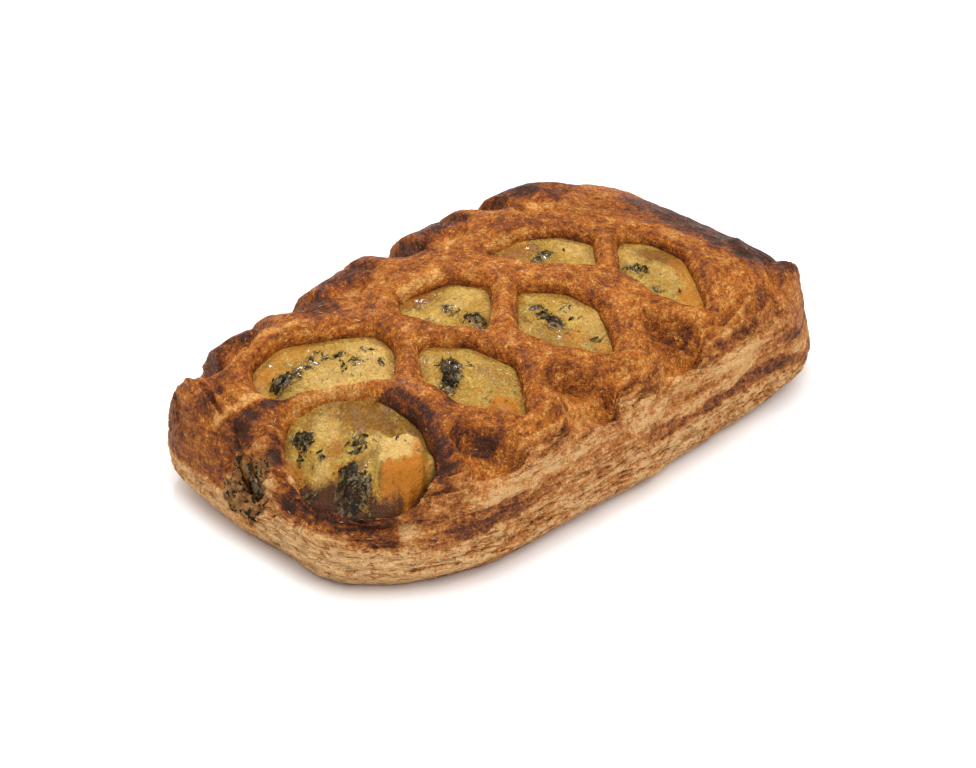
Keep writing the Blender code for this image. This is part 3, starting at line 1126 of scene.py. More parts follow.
@dataclass(frozen=True)
class FlakeFinish:
    """Loose outer flakes of pastry, paler and drier than what they lie on."""

    name: str = "dry_flake"
    pale: Colour = (0.58, 0.38, 0.17)
    browned: Colour = (0.34, 0.14, 0.045)

    def material(self) -> Material:
        """Builds the material."""
        sheet = FinishSheet(self.name)
        cloud = sheet.noise(sheet.position, 210.0, 2.0, 0.6)
        fine = sheet.noise(sheet.position, 1500.0, 2.0, 0.6)
        colour = sheet.blend((cloud * 0.8 + fine * 0.4).ramp(0.4, 0.85), self.pale, self.browned)
        return sheet.finish(Base_Color=colour, Roughness=0.7, Normal=sheet.bump(fine, 0.0002, 0.7))


@dataclass(frozen=True)
class TableFinish:
    """The plain pale floor."""

    name: str = "pale_floor"
    colour: Colour = (0.95, 0.95, 0.95)

    def material(self) -> Material:
        """Builds the material."""
        return FinishSheet(self.name).finish(Base_Color=self.colour, Roughness=0.9, Specular_IOR_Level=0.1)


# ---- Geometry node trees ----


class GeometrySheet(NodeSheet):
    """A Geometry Nodes tree with named inputs."""

    def __init__(self, name: str, inputs: dict[str, float]) -> None:
        """Makes the tree.

        Args:
            name: The tree's name.
            inputs: Its number inputs and what they are set to.
        """
        tree = bpy.data.node_groups.new(name, "GeometryNodeTree")
        tree.interface.new_socket("Geometry", in_out="INPUT", socket_type="NodeSocketGeometry")
        tree.interface.new_socket("Geometry", in_out="OUTPUT", socket_type="NodeSocketGeometry")
        super().__init__(tree)
        self.values = inputs
        self.sockets = {
            label: tree.interface.new_socket(label, in_out="INPUT", socket_type="NodeSocketFloat")
            for label in inputs
        }
        self.given = self.node("NodeGroupInput")
        self.geometry = self.output(self.given, "Geometry")

    def given_value(self, label: str) -> Value:
        """One of the tree's number inputs."""
        return self.output(self.given, label)

    def attribute(self, name: str, kind: str = "FLOAT") -> Value:
        """A stored attribute."""
        return self.node("GeometryNodeInputNamedAttribute", {"data_type": kind}, {"Name": name})

    def noise(self, place: Value, scale: float, detail: float) -> Value:
        """Cloudy noise from 0 to 1."""
        return self.node("ShaderNodeTexNoise", {}, {"Vector": place, "Scale": scale, "Detail": detail})

    def random(self, kind: str, least: Value, most: Value, seed: int) -> Value:
        """A random value for each copy."""
        inputs = {"Min": least, "Max": most, "Seed": seed}
        return self.node("FunctionNodeRandomValue", {"data_type": kind}, inputs)

    def close(self, geometry: Value, material: Material) -> None:
        """Ends the tree with plain geometry in one material."""
        realized = self.node("GeometryNodeRealizeInstances", {}, {"Geometry": geometry})
        dressed = self.node("GeometryNodeSetMaterial", {}, {"Geometry": realized, "Material": material})
        self.node("NodeGroupOutput", {}, {"Geometry": dressed})

    def apply(self, piece: Piece) -> Piece:
        """Runs the tree on a piece, whose mesh becomes the result."""
        modifier = piece.modifiers.new(self.tree.name, "NODES")
        modifier.node_group = self.tree
        for label, socket in self.sockets.items():
            modifier[socket.identifier] = self.values[label]
        graph = bpy.context.evaluated_depsgraph_get()
        made = bpy.data.meshes.new_from_object(piece.evaluated_get(graph), depsgraph=graph)
        piece.modifiers.remove(modifier)
        old = piece.data
        piece.data = made
        made.name = piece.name
        bpy.data.meshes.remove(old)
        return piece


@dataclass
class FlakyRelief:
    """Raises the layers, blisters and pits of the pastry out of a smooth piece."""

    layer_depth: float = 0.95
    blister_height: float = 0.35
    # How many marks of each pattern go into a metre
    ridge_scale: Triple = (110.0, 110.0, 620.0)
    layer_scale: Triple = (60.0, 60.0, 260.0)
    blister_scale: float = 230.0
    ridge_sharpness: float = 6.0
    ridge_share: float = 0.7
    layer_share: float = 1.8
    # How much the layers and the blisters add to the crests that the finish lightens
    crest_shares: Pair = (1.5, 0.8)

    def raise_on(self, piece: Piece, material: Material) -> Piece:
        """Displaces the piece along its stored outward direction, and stores the crests for the finish.

        Args:
            piece: The smooth piece and what it stores.
            material: Its finish.

        Returns:
            The same piece with its new mesh.
        """
        sheet = GeometrySheet(
            f"{piece.name}_relief",
            {"Layer depth": self.layer_depth * MM, "Blister height": self.blister_height * MM},
        )
        grain = sheet.attribute("grain", "FLOAT_VECTOR")
        outward = sheet.attribute("outward", "FLOAT_VECTOR")
        layered, puffed = sheet.attribute("layered"), sheet.attribute("puffed")
        ridges = sheet.noise(sheet.scaled(grain, self.ridge_scale), 1.0, 1.0)
        ridges = (sheet.lines(ridges, self.ridge_sharpness) - 0.5) * self.ridge_share
        broad = sheet.noise(sheet.scaled(grain, self.layer_scale), 1.0, 1.0)
        layers = (ridges + (broad - 0.5) * self.layer_share) * layered
        blisters = sheet.noise(sheet.node("GeometryNodeInputPosition"), self.blister_scale, 3.0)
        blisters = (blisters - 0.5) * 2.0 * puffed
        relief = layers * sheet.given_value("Layer depth") + blisters * sheet.given_value("Blister height")
        offset = sheet.node("ShaderNodeVectorMath", {"operation": "SCALE"}, {0: outward, "Scale": relief})
        moved = sheet.node("GeometryNodeSetPosition", {}, {"Geometry": sheet.geometry, "Offset": offset})
        from_layers, from_blisters = self.crest_shares
        stored = sheet.node(
            "GeometryNodeStoreNamedAttribute",
            {"data_type": "FLOAT", "domain": "POINT"},
            {"Geometry": moved, "Name": "crest", "Value": layers * from_layers + blisters * from_blisters},
        )
        sheet.close(stored, material)
        return sheet.apply(piece)


@dataclass
class Scatter:
    """Spreads copies of small shapes over a piece, where an attribute is high."""

    name: str
    density: float  # copies on a square metre where the mask is 1
    small: float
    large: float
    tilt: float  # radians
    seed: int
    mask: str

    TURN = 4.0  # how much further a copy turns about its upright than it tilts
    # What a crust stores and its copies don't need
    DROPPED = (
        "bake", "glaze", "crest", "grain", "outward", "layered", "puffed", "pitted", "spill", "heading"
    )

    def spread(self, ground: Piece, shapes: Sequence[Piece], material: Material) -> Piece:
        """Builds and runs the tree.

        Args:
            ground: The piece that the copies lie on.
            shapes: The shapes to pick from. They are removed afterwards.
            material: The copies' finish.

        Returns:
            The copies as one plain mesh object.
        """
        carrier = bpy.data.objects.new(self.name, ground.data.copy())
        bpy.context.scene.collection.objects.link(carrier)
        sheet = GeometrySheet(
            f"{self.name}_tree",
            {"Density": self.density, "Smallest": self.small, "Largest": self.large, "Tilt": self.tilt},
        )
        density = sheet.attribute(self.mask) * sheet.given_value("Density")
        points = sheet.node(
            "GeometryNodeDistributePointsOnFaces",
            {"distribute_method": "RANDOM"},
            {"Mesh": sheet.geometry, "Density": density, "Seed": self.seed},
        )
        upright = sheet.node(
            "FunctionNodeAlignRotationToVector", {"axis": "Z"}, {"Vector": sheet.output(points, "Normal")}
        )
        turned = sheet.node(
            "FunctionNodeAlignRotationToVector",
            {"axis": "X", "pivot_axis": "Z"},
            {"Rotation": upright, "Vector": sheet.attribute("heading", "FLOAT_VECTOR")},
        )
        tilt = sheet.given_value("Tilt")
        least, most = (
            sheet.node("ShaderNodeCombineXYZ", {}, {"X": lean, "Y": lean, "Z": lean * self.TURN})
            for lean in (0 - tilt, tilt)
        )
        lean = sheet.random("FLOAT_VECTOR", least, most, self.seed + 1)
        leaned = sheet.node(
            "FunctionNodeRotateRotation",
            {"rotation_space": "LOCAL"},
            {"Rotation": turned, "Rotate By": sheet.node("FunctionNodeEulerToRotation", {}, {"Euler": lean})},
        )
        smallest, largest = sheet.given_value("Smallest"), sheet.given_value("Largest")
        size = sheet.random("FLOAT", smallest, largest, self.seed + 2)
        kinds = sheet.node("GeometryNodeJoinGeometry")
        joined = kinds.socket.node
        for shape in shapes:
            info = sheet.node("GeometryNodeObjectInfo", {}, {"Object": shape, "As Instance": True})
            sheet.tree.links.new(sheet.output(info, "Geometry").socket, joined.inputs[0])
        copies = sheet.node(
            "GeometryNodeInstanceOnPoints",
            {},
            {"Points": points, "Instance": kinds, "Pick Instance": True, "Rotation": leaned, "Scale": size},
        )
        sheet.close(copies, material)
        sheet.apply(carrier)
        for shape in shapes:
            bpy.data.objects.remove(shape)
        carrier.data.shade_smooth()
        for name in self.DROPPED:
            attribute = carrier.data.attributes.get(name)
            if attribute is not None:
                carrier.data.attributes.remove(attribute)
        return carrier


# ---- Sub-assemblies ----


@dataclass
class Crust:
    """What the lid and the base sheet have in common: the layered side and how it is baked."""

    form: SliceForm = FORM
    grain: Grain = field(default_factory=lambda: Grain(11))
    # Where filling has burst through the near end, as a patch over y and z
    spill: Spot = Spot(4.6, 13.5, 7.6, 1.0, 1.1, 90, 0.5)
    # Height of the smooth brown band along the near side, where the dough's skin stayed whole
    band_x: tuple[float, ...] = (-75, -67, -61, -55, -51, -47, -42, -35, -24, -11, 0, 14, 35, 50, 63, 75)
    band_z: tuple[float, ...] = (
        13.4, 13.6, 12.4, 11.5, 12.8, 13.6, 14.3, 14.2, 15.6, 16.6, 15.4, 12.4, 12.8, 12.3, 8, 8
    )
    band_strength: tuple[float, ...] = (
        0.15, 0.2, 0.2, 0.5, 0.9, 1, 1, 0.8, 0.2, 0.1, 0.35, 0.85, 0.85, 0.8, 0.7, 0.5
    )

    HALF = (75.0, 45.0)  # half the slice's length and width
    FAR_BAND = (13, 2.5)  # the far side's band: its height, and how far it waves
    BAND_EDGE = 0.8
    RIDGE = (3.2, 1.6)  # how far the torn ridge lies above the band, and how broad it is
    BROWNING_Z = 10  # above this height the side gets browner
    PLAIN_BAKE = 0.04
    # How much darker, or paler below 0, each part of the side is than that
    BAKE = {
        "clouds": 0.08, "height": 0.042, "band": 0.54, "foot": 0.3, "ridge": -0.2, "groove": 0.34,
        "end_slope": 0.18, "near_end": -0.16, "far_end": 0.16, "middle": 0.04,
    }
    FOOT = Rise(0, 1.6)  # over z
    LAYERS = Rise(0.5, 1)  # over z
    GROOVES = Rise(4, 2)  # over the height above the band
    SHEEN = Rise(1, 4)  # over the height above the band
    PITS = Rise(0, 2)  # over the depth below the band
    NEAR_END = Rise(55, 10)  # over -x
    BURST = Rise(66, 4)  # over -x
    FAR_END = Rise(34, 18)  # over x
    MIDDLE = Rise(-52, 10)  # over x
    END_SLOPE = (Rise(58, 8), Rise(-2, 8), Rise(10, 3))  # over -x, -y and z
    GLAZED_CORNER = (Rise(7, 7), Rise(50, 12), Rise(9.5, 2.5))  # over y, -x and z
    GLAZED_END = (Rise(60, 6), Rise(12, 3))  # over x and z
    FAR_CORNER = (Rise(54, 6), Rise(18, 8), Rise(11, 3))  # over x, -y and z

    def turn(self, x: Array, y: Array) -> Array:
        """Angle of each place round the slice."""
        return np.arctan2(y / self.HALF[1], x / self.HALF[0])

    def along(self, x: Array, y: Array) -> Array:
        """Level direction along the cut side."""
        turn = self.turn(x, y)
        along = np.stack([-np.sin(turn) * self.HALF[0], np.cos(turn) * self.HALF[1], np.zeros(len(x))], -1)
        return along / np.linalg.norm(along, axis=1, keepdims=True)

    @staticmethod
    def outward(piece: Piece, levelled: Array) -> Array:
        """Direction in which relief is raised at each point.

        Args:
            piece: The crust.
            levelled: For each point, 0 to keep its normal and 1 to turn it level.

        Returns:
            The directions.
        """
        normals = np.zeros(len(piece.data.vertices) * 3)
        piece.data.vertex_normals.foreach_get("vector", normals)
        normals = normals.reshape(-1, 3)
        normals[:, 2] *= 1 - levelled
        return normals / np.maximum(np.linalg.norm(normals, axis=1, keepdims=True), 1e-6)

    def side_tones(self, x: Array, y: Array, z: Array) -> dict[str, Array]:
        """Bake, glaze and relief of the cut side.

        Args:
            x, y, z: Where, in millimetres.

        Returns:
            What the finish and the relief read, by name.
        """
        near, turn = y < 0, self.turn(x, y)
        level, wave = self.FAR_BAND
        far_z = level + wave * self.grain(turn * 2.2, 3.0)
        far_strength = smooth_step(self.grain(turn * 3, 7.0) + 0.5)
        band_z = np.where(near, np.interp(x, self.band_x, self.band_z), far_z)
        strength = np.where(near, np.interp(x, self.band_x, self.band_strength), far_strength)
        above = z - band_z
        uneven = self.grain(x / 9, y / 9, z / 3) * 0.5
        breadth = 0.9 + 0.8 * self.grain(x / 11, 21.0)
        band = strength * (1 - smooth_step((np.abs(above + uneven) - breadth) / self.BAND_EDGE))
        clouds = self.grain.fractal(x / 14, y / 14, z / 4)
        ridge_above, ridge_width = self.RIDGE
        parts = {
            "clouds": clouds,
            "height": np.maximum(z - self.BROWNING_Z, 0),
            "band": band,
            "foot": 1 - self.FOOT(z),
            "ridge": near * (1 - smooth_step(np.abs(above - ridge_above + 2 * uneven) / ridge_width)),
            "groove": near * self.GROOVES(above) * smooth_step(self.grain(x / 10, z / 1.6, 31.0) * 2.4),
            "end_slope": meet(self.END_SLOPE, -x, -y, z),
            "near_end": self.NEAR_END(-x) * near,
            "far_end": self.FAR_END(x),
            "middle": self.MIDDLE(x),
        }
        bake = self.PLAIN_BAKE
        for name, part in parts.items():
            bake = bake + self.BAKE[name] * part
        # The near end's left corner and the far end kept their glazed skin
        skin = meet(self.GLAZED_CORNER, y, -x, z + 2 * uneven)
        skin = np.maximum(skin, meet(self.GLAZED_END, x, z) * (y > -30))
        corner = meet(self.FAR_CORNER, x, -y, z)
        glaze = np.maximum(np.maximum(0.25 * band, 0.85 * skin), 0.35 * near * self.SHEEN(above))
        return {
            "bake": mix(bake, 0.56 + 0.08 * clouds, skin),
            "glaze": glaze,
            "layered": (1 - 0.75 * band) * (1 - 0.7 * skin) * self.LAYERS(z) * (1 - 0.7 * corner),
            "puffed": np.full(np.shape(x), 0.35),
            "pitted": near * (1 - band) * self.PITS(-above) + 0.2 * (x < -60),
            "spill": self.BURST(-x) * self.spill.cover(y, z, 0.3 * self.grain(y / 2, z / 2, 5.0)),
        }


@dataclass
class LatticeCrust(Crust):
    """The lid: the lattice of strands and the slopes down to the cut edge."""

    shell: Shell = field(default_factory=lambda: Shell(348, 216, 18, 0.55))
    profile: StrandProfile = field(default_factory=StrandProfile)
    lowest_rim: float = 1.5  # least height of the lid's side, at the notches
    # How much darker (above 0) or paler (below 0) the oven left some places
    scorched: tuple[Spot | Stroke, ...] = (
        Stroke(((-67, 11.6), (-60.8, 9), (-55.5, 6.8)), 3, 0.46),
        Stroke(((-66.2, 2.4), (-67.6, -0.8), (-69.4, -4), (-70.2, -7.5)), 2.2, 0.5),
        Stroke(((-70.2, -7), (-69.9, -13), (-69.6, -19), (-67.8, -25.5), (-63.5, -31.5)), 2.6, 0.6),
        Stroke(((-61, -36), (-54, -35.5)), 2.4, 0.16),
        Stroke(((-44.9, -12), (-44.6, -22), (-47.2, -29.7), (-50.5, -33.5)), 3.2, 0.42),
        Stroke(((-62, -35.5), (-55, -38.5), (-48, -39.5)), 2.6, 0.2),
        Spot(-63, 23.5, 6, 0.22), Spot(-52, 34, 9, 0.4, 1.5),
        Spot(-32, 26, 7.5, 0.46, 1.3, 60), Spot(-17, 33, 10, 0.46, 1.3),
        Spot(1, 30, 8, 0.44, 1.2, 60), Spot(14, 34, 9, 0.46, 1.3),
        Spot(36, 33, 9, 0.36, 1.3), Spot(47, 30, 10, 0.32, 1.3),
        Spot(58, 4, 14, 0.14, 1.8, 90),
        Stroke(((61, 8), (61.5, -4), (61.5, -16), (61, -28)), 9.5, 0.44),
        Spot(64, -19, 8, 0.22, 1.5, 90), Spot(56.4, -25, 4, 0.25),
        Spot(54, -18, 3, 0.25), Spot(30, 20, 10, 0.16, 2),
        Spot(-38, -24, 5, 0.12, 1.6, 60), Spot(17, -34.5, 7, 0.2),
    )
    spared: tuple[Spot | Stroke, ...] = (
        Stroke(((-57.5, 3.4), (-51.5, -0.2), (-46.6, -6.4)), 3, 0.3),
        Spot(-13, -37.5, 5, 0.14),
        Stroke(((-68.5, 18), (-65.8, 15.4), (-61.5, 13), (-58, 10.6)), 1.5, 0.5),
        Spot(-53, 28, 5.5, 0.26, 1.3), Spot(-23.5, 24, 5.5, 0.26, 1.3),
        Spot(8, 24.5, 6, 0.26, 1.3), Spot(36, 20, 6, 0.26, 1.5),
        Spot(-72.5, -28, 6, 0.2, 2, 120),
        Stroke(((-16, 14.8), (-10.8, 14.9), (-5, 14)), 1.6, 0.36),
        Stroke(((13, 15.8), (20.7, 15.6), (26, 14.6)), 1.6, 0.36),
        Stroke(((33, 31), (36, 26.5), (41, 23.5)), 1.6, 0.3),
        Stroke(((-48, 26), (-44, 24), (-40, 22)), 1.4, 0.24),
        Spot(63, -37, 4, 0.25), Spot(50.5, -8.5, 4.5, 0.18),
    )
    # The torn ridge above the brown band
    pale_ridge: Stroke = Stroke(
        ((-48, -40.5), (-35, -41.8), (-20, -42), (0, -42.6), (20, -42.4), (45, -42), (56, -40.5)),
        1.8,
        0.34,
    )

    # Over the edge share, which is 0 in the slice's middle and 1 at its rim
    FADE_FROM = (0.92, 0.80)  # where the strands begin to flatten, on the far and the near side
    FADE_RUN = 0.10
    TUCK_END = Rise(0.88, 0.12)
    KNOB_END = Rise(0.93, 0.07)
    RIM = Rise(0.86, 0.14)
    CONTOUR_RIM = Rise(0.72, 0.28)
    WRINKLED_RIM = Rise(0.98, 0.02)
    NEAR_SIDE = Rise(10, 15)  # over -y
    FAR_SIDE = Rise(22, 8)  # over y
    TUCKED = Rise(-0.5, 2.5)  # over the distance from the nearest window
    KNOB = (0.8, -0.6, 0.75)  # how far the knob of dough sticks out along x and y, and its share
    # Wrinkles of the near slope and the near end
    WRINKLED_FROM = (24, 60)  # over -y and -x
    WRINKLED_RUN = Rise(0, 10)
    WRINKLED_LOW = Rise(-30, 6)  # over the crown's depth
    WRINKLED_END = Rise(52, 8)  # over x
    WRINKLE_HEIGHT = 1.6
    UNEVENNESS = 0.5
    # Torn, dry places
    DRY_LEVEL = (27, 6)  # crown height under which the layers are torn, and its spread
    DRY_SIDE = Rise(20, 12)  # over -y
    DRY_END = (Rise(62, 7), Rise(-4, 10))  # over -x and -y
    DRY_CORNER = (Rise(52, 14), Rise(22, 12))  # over x and -y
    # How far a strand's side has turned over: 0 on its top, 1 underneath
    LIP, LIP_WIDTH = 0.36, 0.05
    FLANK = (Rise(0, 0.25), Rise(0.42, 0.1))
    # Where a strand's wall turns under towards the window: darkened as browning and as painted shade in that
    # crease
    CONTACT_SHADE = Rise(0.45, 0.2)
    UNDERCUT = Rise(0.6, 0.3)
    TOP_BAKE = 0.36
    # How much darker, or paler below 0, each part of the top is than that; the flanks are browning and
    # painted shade, the contact line and the closed cells' walls painted shade, and the closed cells' paler
    # floors glazed dough with a painted highlight
    TOP_PARTS = {
        "lip": -0.26, "clouds": 0.1, "ropes": 0.13, "flank": 0.12, "contact_shade": 0.24, "recess": 0.22,
        "patch": -0.08,
    }
    DRY_BAKE = (0.20, 0.15)  # how much darker dry places are, high up and low down
    LOW_DOWN = Rise(-20, 3)  # over the crown's depth
    ABOVE_RIDGE = Rise(16.5, 1.5)  # over z
    STAINED = Rise(11, 3.5)  # over z

    def dry_share(self, x: Array, y: Array, crown: Array) -> Array:
        """How far the dough's layers are torn open.

        Args:
            x, y: Places on the slice.
            crown: Height of the smooth form there.

        Returns:
            1 where the layers are torn open and dry, 0 where the skin is glazed.
        """
        ragged = 2.2 * self.grain(x / 8, y / 8, 2.0) + 1.2 * self.grain(x / 3, y / 3, 5.0)
        level, run = self.DRY_LEVEL
        slope = smooth_step((level + ragged - crown) / run)
        near = np.maximum(np.maximum(self.DRY_SIDE(-y), meet(self.DRY_END, -x, -y)), 0.2)
        return np.clip(slope * near + meet(self.DRY_CORNER, x, -y) * 0.3, 0, 1)

    def wrinkles(
        self, x: Array, y: Array, crown: Array, distance: Array, edge: Array
    ) -> tuple[Array, Array]:
        """Wrinkles of the near slope and the near end.

        Args:
            x, y: Places on the slice.
            crown: Height of the smooth form there.
            distance: Distance from the nearest window.
            edge: Edge share.

        Returns:
            How wrinkled each place is, and the wrinkles' height there.
        """
        from_side, from_end = self.WRINKLED_FROM
        wrinkled = self.WRINKLED_RUN(np.maximum(-y - from_side, -x - from_end)) * self.WRINKLED_LOW(-crown)
        wrinkled = wrinkled * (1 - self.WRINKLED_RIM(edge)) * (1 - 0.8 * self.WRINKLED_END(x))
        waves = self.grain.fractal(x / 22, (crown - 0.25 * distance) / 2.4, 6.0, 2)
        return wrinkled, (1 - np.clip(np.abs(waves) * 3.2, 0, 1)) ** 1.2 - 0.3

    def build(self) -> Piece:
        """Makes the lid's mesh with all that its finish reads."""
        lattice = Lattice(self.profile)
        u, v = self.shell.grid()
        px, py = self.form.plan(u, v, self.form.rim_z)
        x, y = self.form.side(u, v, np.full_like(u, self.form.rim_z))
        crown = self.form.crown(px, py)
        edge = np.maximum(np.abs(u), np.abs(v))
        fade = 1 - smooth_step((edge - mix(*self.FADE_FROM, self.NEAR_SIDE(-py))) / self.FADE_RUN)
        distance = lattice.open_distance(px, py)
        moved, height, turned = self.profile.bend(distance, lattice.half_width(px, py), lattice.proud(px, py))
        away_x, away_y = lattice.away(px, py)
        shift = moved - distance
        uneven = self.grain.fractal(px / 9, py / 9, 1.0)
        tuck, recess, patch = (part * self.TUCKED(distance) for part in lattice.tuck(px, py))
        tuck = tuck * (1 - self.TUCK_END(edge))
        relief = np.where(height > 0, height * fade, height)
        z = crown + relief - tuck + self.form.folds(px, py) - self.form.notch_depth * self.form.notch(px, py)
        wrinkled, wrinkles = self.wrinkles(px, py, crown, distance, edge)
        wrinkled = wrinkled * (1 - patch)
        wrinkles = wrinkled * wrinkles
        z = z + self.UNEVENNESS * uneven * (1 - 0.6 * wrinkled) + self.WRINKLE_HEIGHT * wrinkles
        z = np.maximum(z, self.form.seam_z + self.lowest_rim)
        knob_x, knob_y, knob_share = self.KNOB
        knob = self.form.FOLDS[0].cover(px, py) * knob_share * (1 - self.KNOB_END(edge))
        top = np.stack([x + away_x * shift + knob_x * knob, y + away_y * shift + knob_y * knob, z], -1)

        rim = self.shell.rim()
        levels = []
        for level in range(1, self.shell.levels + 1):
            ring_z = mix(z[rim], self.form.seam_z, level / self.shell.levels)
            ring_x, ring_y = self.form.side(u[rim], v[rim], np.minimum(ring_z, self.form.rim_z))
            levels.append(np.stack([ring_x, ring_y, ring_z], -1))
        side = np.concatenate(levels)
        points = np.concatenate([top, side, [[0.0, 0.0, self.form.seam_z]]])
        piece = make_mesh("lattice_crust", points, self.shell.faces(len(top)))

        tones = self.tones(px, py, crown, turned, recess, patch)
        tones["bake"] = tones["bake"] + 0.10 * wrinkled - 0.6 * wrinkles
        side_tones = self.side_tones(*side.T)
        near_rim = self.RIM(edge)
        rim_tones = self.side_tones(x, y, np.minimum(z, self.form.rim_z))
        tones["pitted"], tones["spill"] = np.zeros(len(px)), rim_tones["spill"]
        stains = self.stains(*points.T)
        for name in side_tones:
            values = np.concatenate([mix(tones[name], rim_tones[name], near_rim), side_tones[name], [0.0]])
            if name == "bake":
                values = values + stains
            if name == "glaze":
                values = np.maximum(values, np.clip(2 * stains, 0, 1))
            store(piece, name, values)
        contour = mix(crown, z, np.maximum(near_rim, self.FAR_SIDE(py)))
        contour = contour - (0.6 * distance + 0.3 * tuck) * (1 - self.CONTOUR_RIM(edge))
        flow = np.stack([mix(px, x, near_rim), mix(py, y, near_rim), contour], -1)
        store(piece, "grain", np.concatenate([flow, side, [[0, 0, 0]]]) * MM)
        outward = self.outward(piece, np.concatenate([near_rim**3, np.ones(len(side) + 1)]))
        outward[-1] = 0
        store(piece, "outward", outward)
        strands = np.stack([-away_y, away_x, np.zeros(len(top))], -1)
        heading = np.concatenate([strands, self.along(*side[:, :2].T), [[1.0, 0, 0]]])
        store(piece, "heading", heading)
        return piece

    def tones(
        self, x: Array, y: Array, crown: Array, turned: Array, recess: Array, patch: Array
    ) -> dict[str, Array]:
        """Bake with painted shade and highlights, glaze and relief of the top.

        Args:
            x, y: Places on the slice.
            crown: Height of the smooth form there.
            turned: How far a strand's side has turned over.
            recess: How much of each place is a closed cell's wall.
            patch: How much of it is a closed cell's floor.

        Returns:
            What the finish and the relief read, by name.
        """
        dry = self.dry_share(x, y, crown) * (1 - 0.9 * patch)
        clouds = self.grain.fractal(x / 16, y / 16, 8.0)
        turning, turned_over = self.FLANK
        parts = {
            "lip": np.exp(-(((turned - self.LIP) / self.LIP_WIDTH) ** 2)),
            "clouds": clouds,
            "ropes": self.grain.fractal(x / 6, y / 6, 14.0),
            "flank": turning(turned) * (1 - turned_over(turned)),
            "contact_shade": self.CONTACT_SHADE(turned),
            "recess": recess,
            "patch": patch,
        }
        # Flanks, contact line and closed cells' walls are darkened as painted shade, partly browning on
        # flanks and contact line; the cells' floors are paled as a painted highlight
        bake = self.TOP_BAKE
        for name, part in parts.items():
            bake = bake + self.TOP_PARTS[name] * part
        layered = np.clip(0.25 + 0.75 * np.maximum(dry, recess), 0, 1)
        return {
            "bake": bake + dry * (1 - recess) * mix(*self.DRY_BAKE, self.LOW_DOWN(-crown)),
            "glaze": np.clip(1 - 0.5 * dry, 0, 1),
            "layered": layered * (1 - self.UNDERCUT(turned)),
            "puffed": 0.65 + 0.25 * clouds - 0.3 * patch,
        }

    def stains(self, x: Array, y: Array, z: Array) -> Array:
        """What the oven did to each place.

        Args:
            x, y, z: Where, in millimetres.

        Returns:
            How much darker, or paler below 0, each place is than its surroundings.
        """
        ragged = 0.25 * self.grain.fractal(x / 5, y / 5, 4.0) + 0.15 * self.grain(x / 1.5, y / 1.5, z / 1.5)
        change = paint(self.scorched, x, y, ragged) - paint(self.spared, x, y, ragged)
        return change * self.STAINED(z) - self.pale_ridge.cover(x, y, ragged) * self.ABOVE_RIDGE(z)


@dataclass
class BaseCrust(Crust):
    """The base sheet: its puffed, layered edge and its browned underside."""

    shell: Shell = field(default_factory=lambda: Shell(348, 216, 26, 0.55))
    under_rings: int = 25  # rings that fill the underside, each smaller than the one before
    smallest_ring: float = 0.04

    def build(self) -> Piece:
        """Makes the base's mesh with all that its finish reads."""
        u, v = self.shell.grid()
        rim = self.shell.rim()
        count, levels = len(rim), self.shell.levels
        rings = []
        for level in range(levels + 1):
            ring_z = np.full(count, self.form.seam_z * (1 - level / levels))
            ring_x, ring_y = self.form.side(u[rim], v[rim], ring_z)
            rings.append(np.stack([ring_x, ring_y, ring_z], -1))
        shares = np.linspace(1, self.smallest_ring, self.under_rings + 1)[1:]
        inner = [rings[-1] * np.array([share, share, 1]) for share in shares]
        points = np.concatenate([*rings, *inner, [[0, 0, self.form.seam_z]], [[0, 0, 0]]])
        total = len(rings) + len(inner)
        loops = [np.arange(count) + count * number for number in range(total)]
        caps = [cap(loops[0], count * total), cap(loops[-1], count * total + 1)[:, [1, 0, 2]]]
        faces = np.concatenate(walls(loops)).tolist() + np.concatenate(caps).tolist()
        piece = make_mesh("base_crust", points, faces)

        x, y, z = points.T
        under = np.zeros(len(points), bool)
        under[count * len(rings) : -2] = True
        under[-1] = True
        under_tones = {"bake": 0.50 + 0.16 * self.grain.fractal(x / 15, y / 15, 12.0), "glaze": 0.3}
        for name, values in self.side_tones(x, y, z).items():
            store(piece, name, np.where(under, under_tones.get(name, 0.0), values))
        store(piece, "grain", points * MM)
        outward = self.outward(piece, np.ones(len(points)))
        outward[under] = 0
        outward[-2:] = 0
        store(piece, "outward", outward)
        store(piece, "heading", self.along(x, y))
        return piece


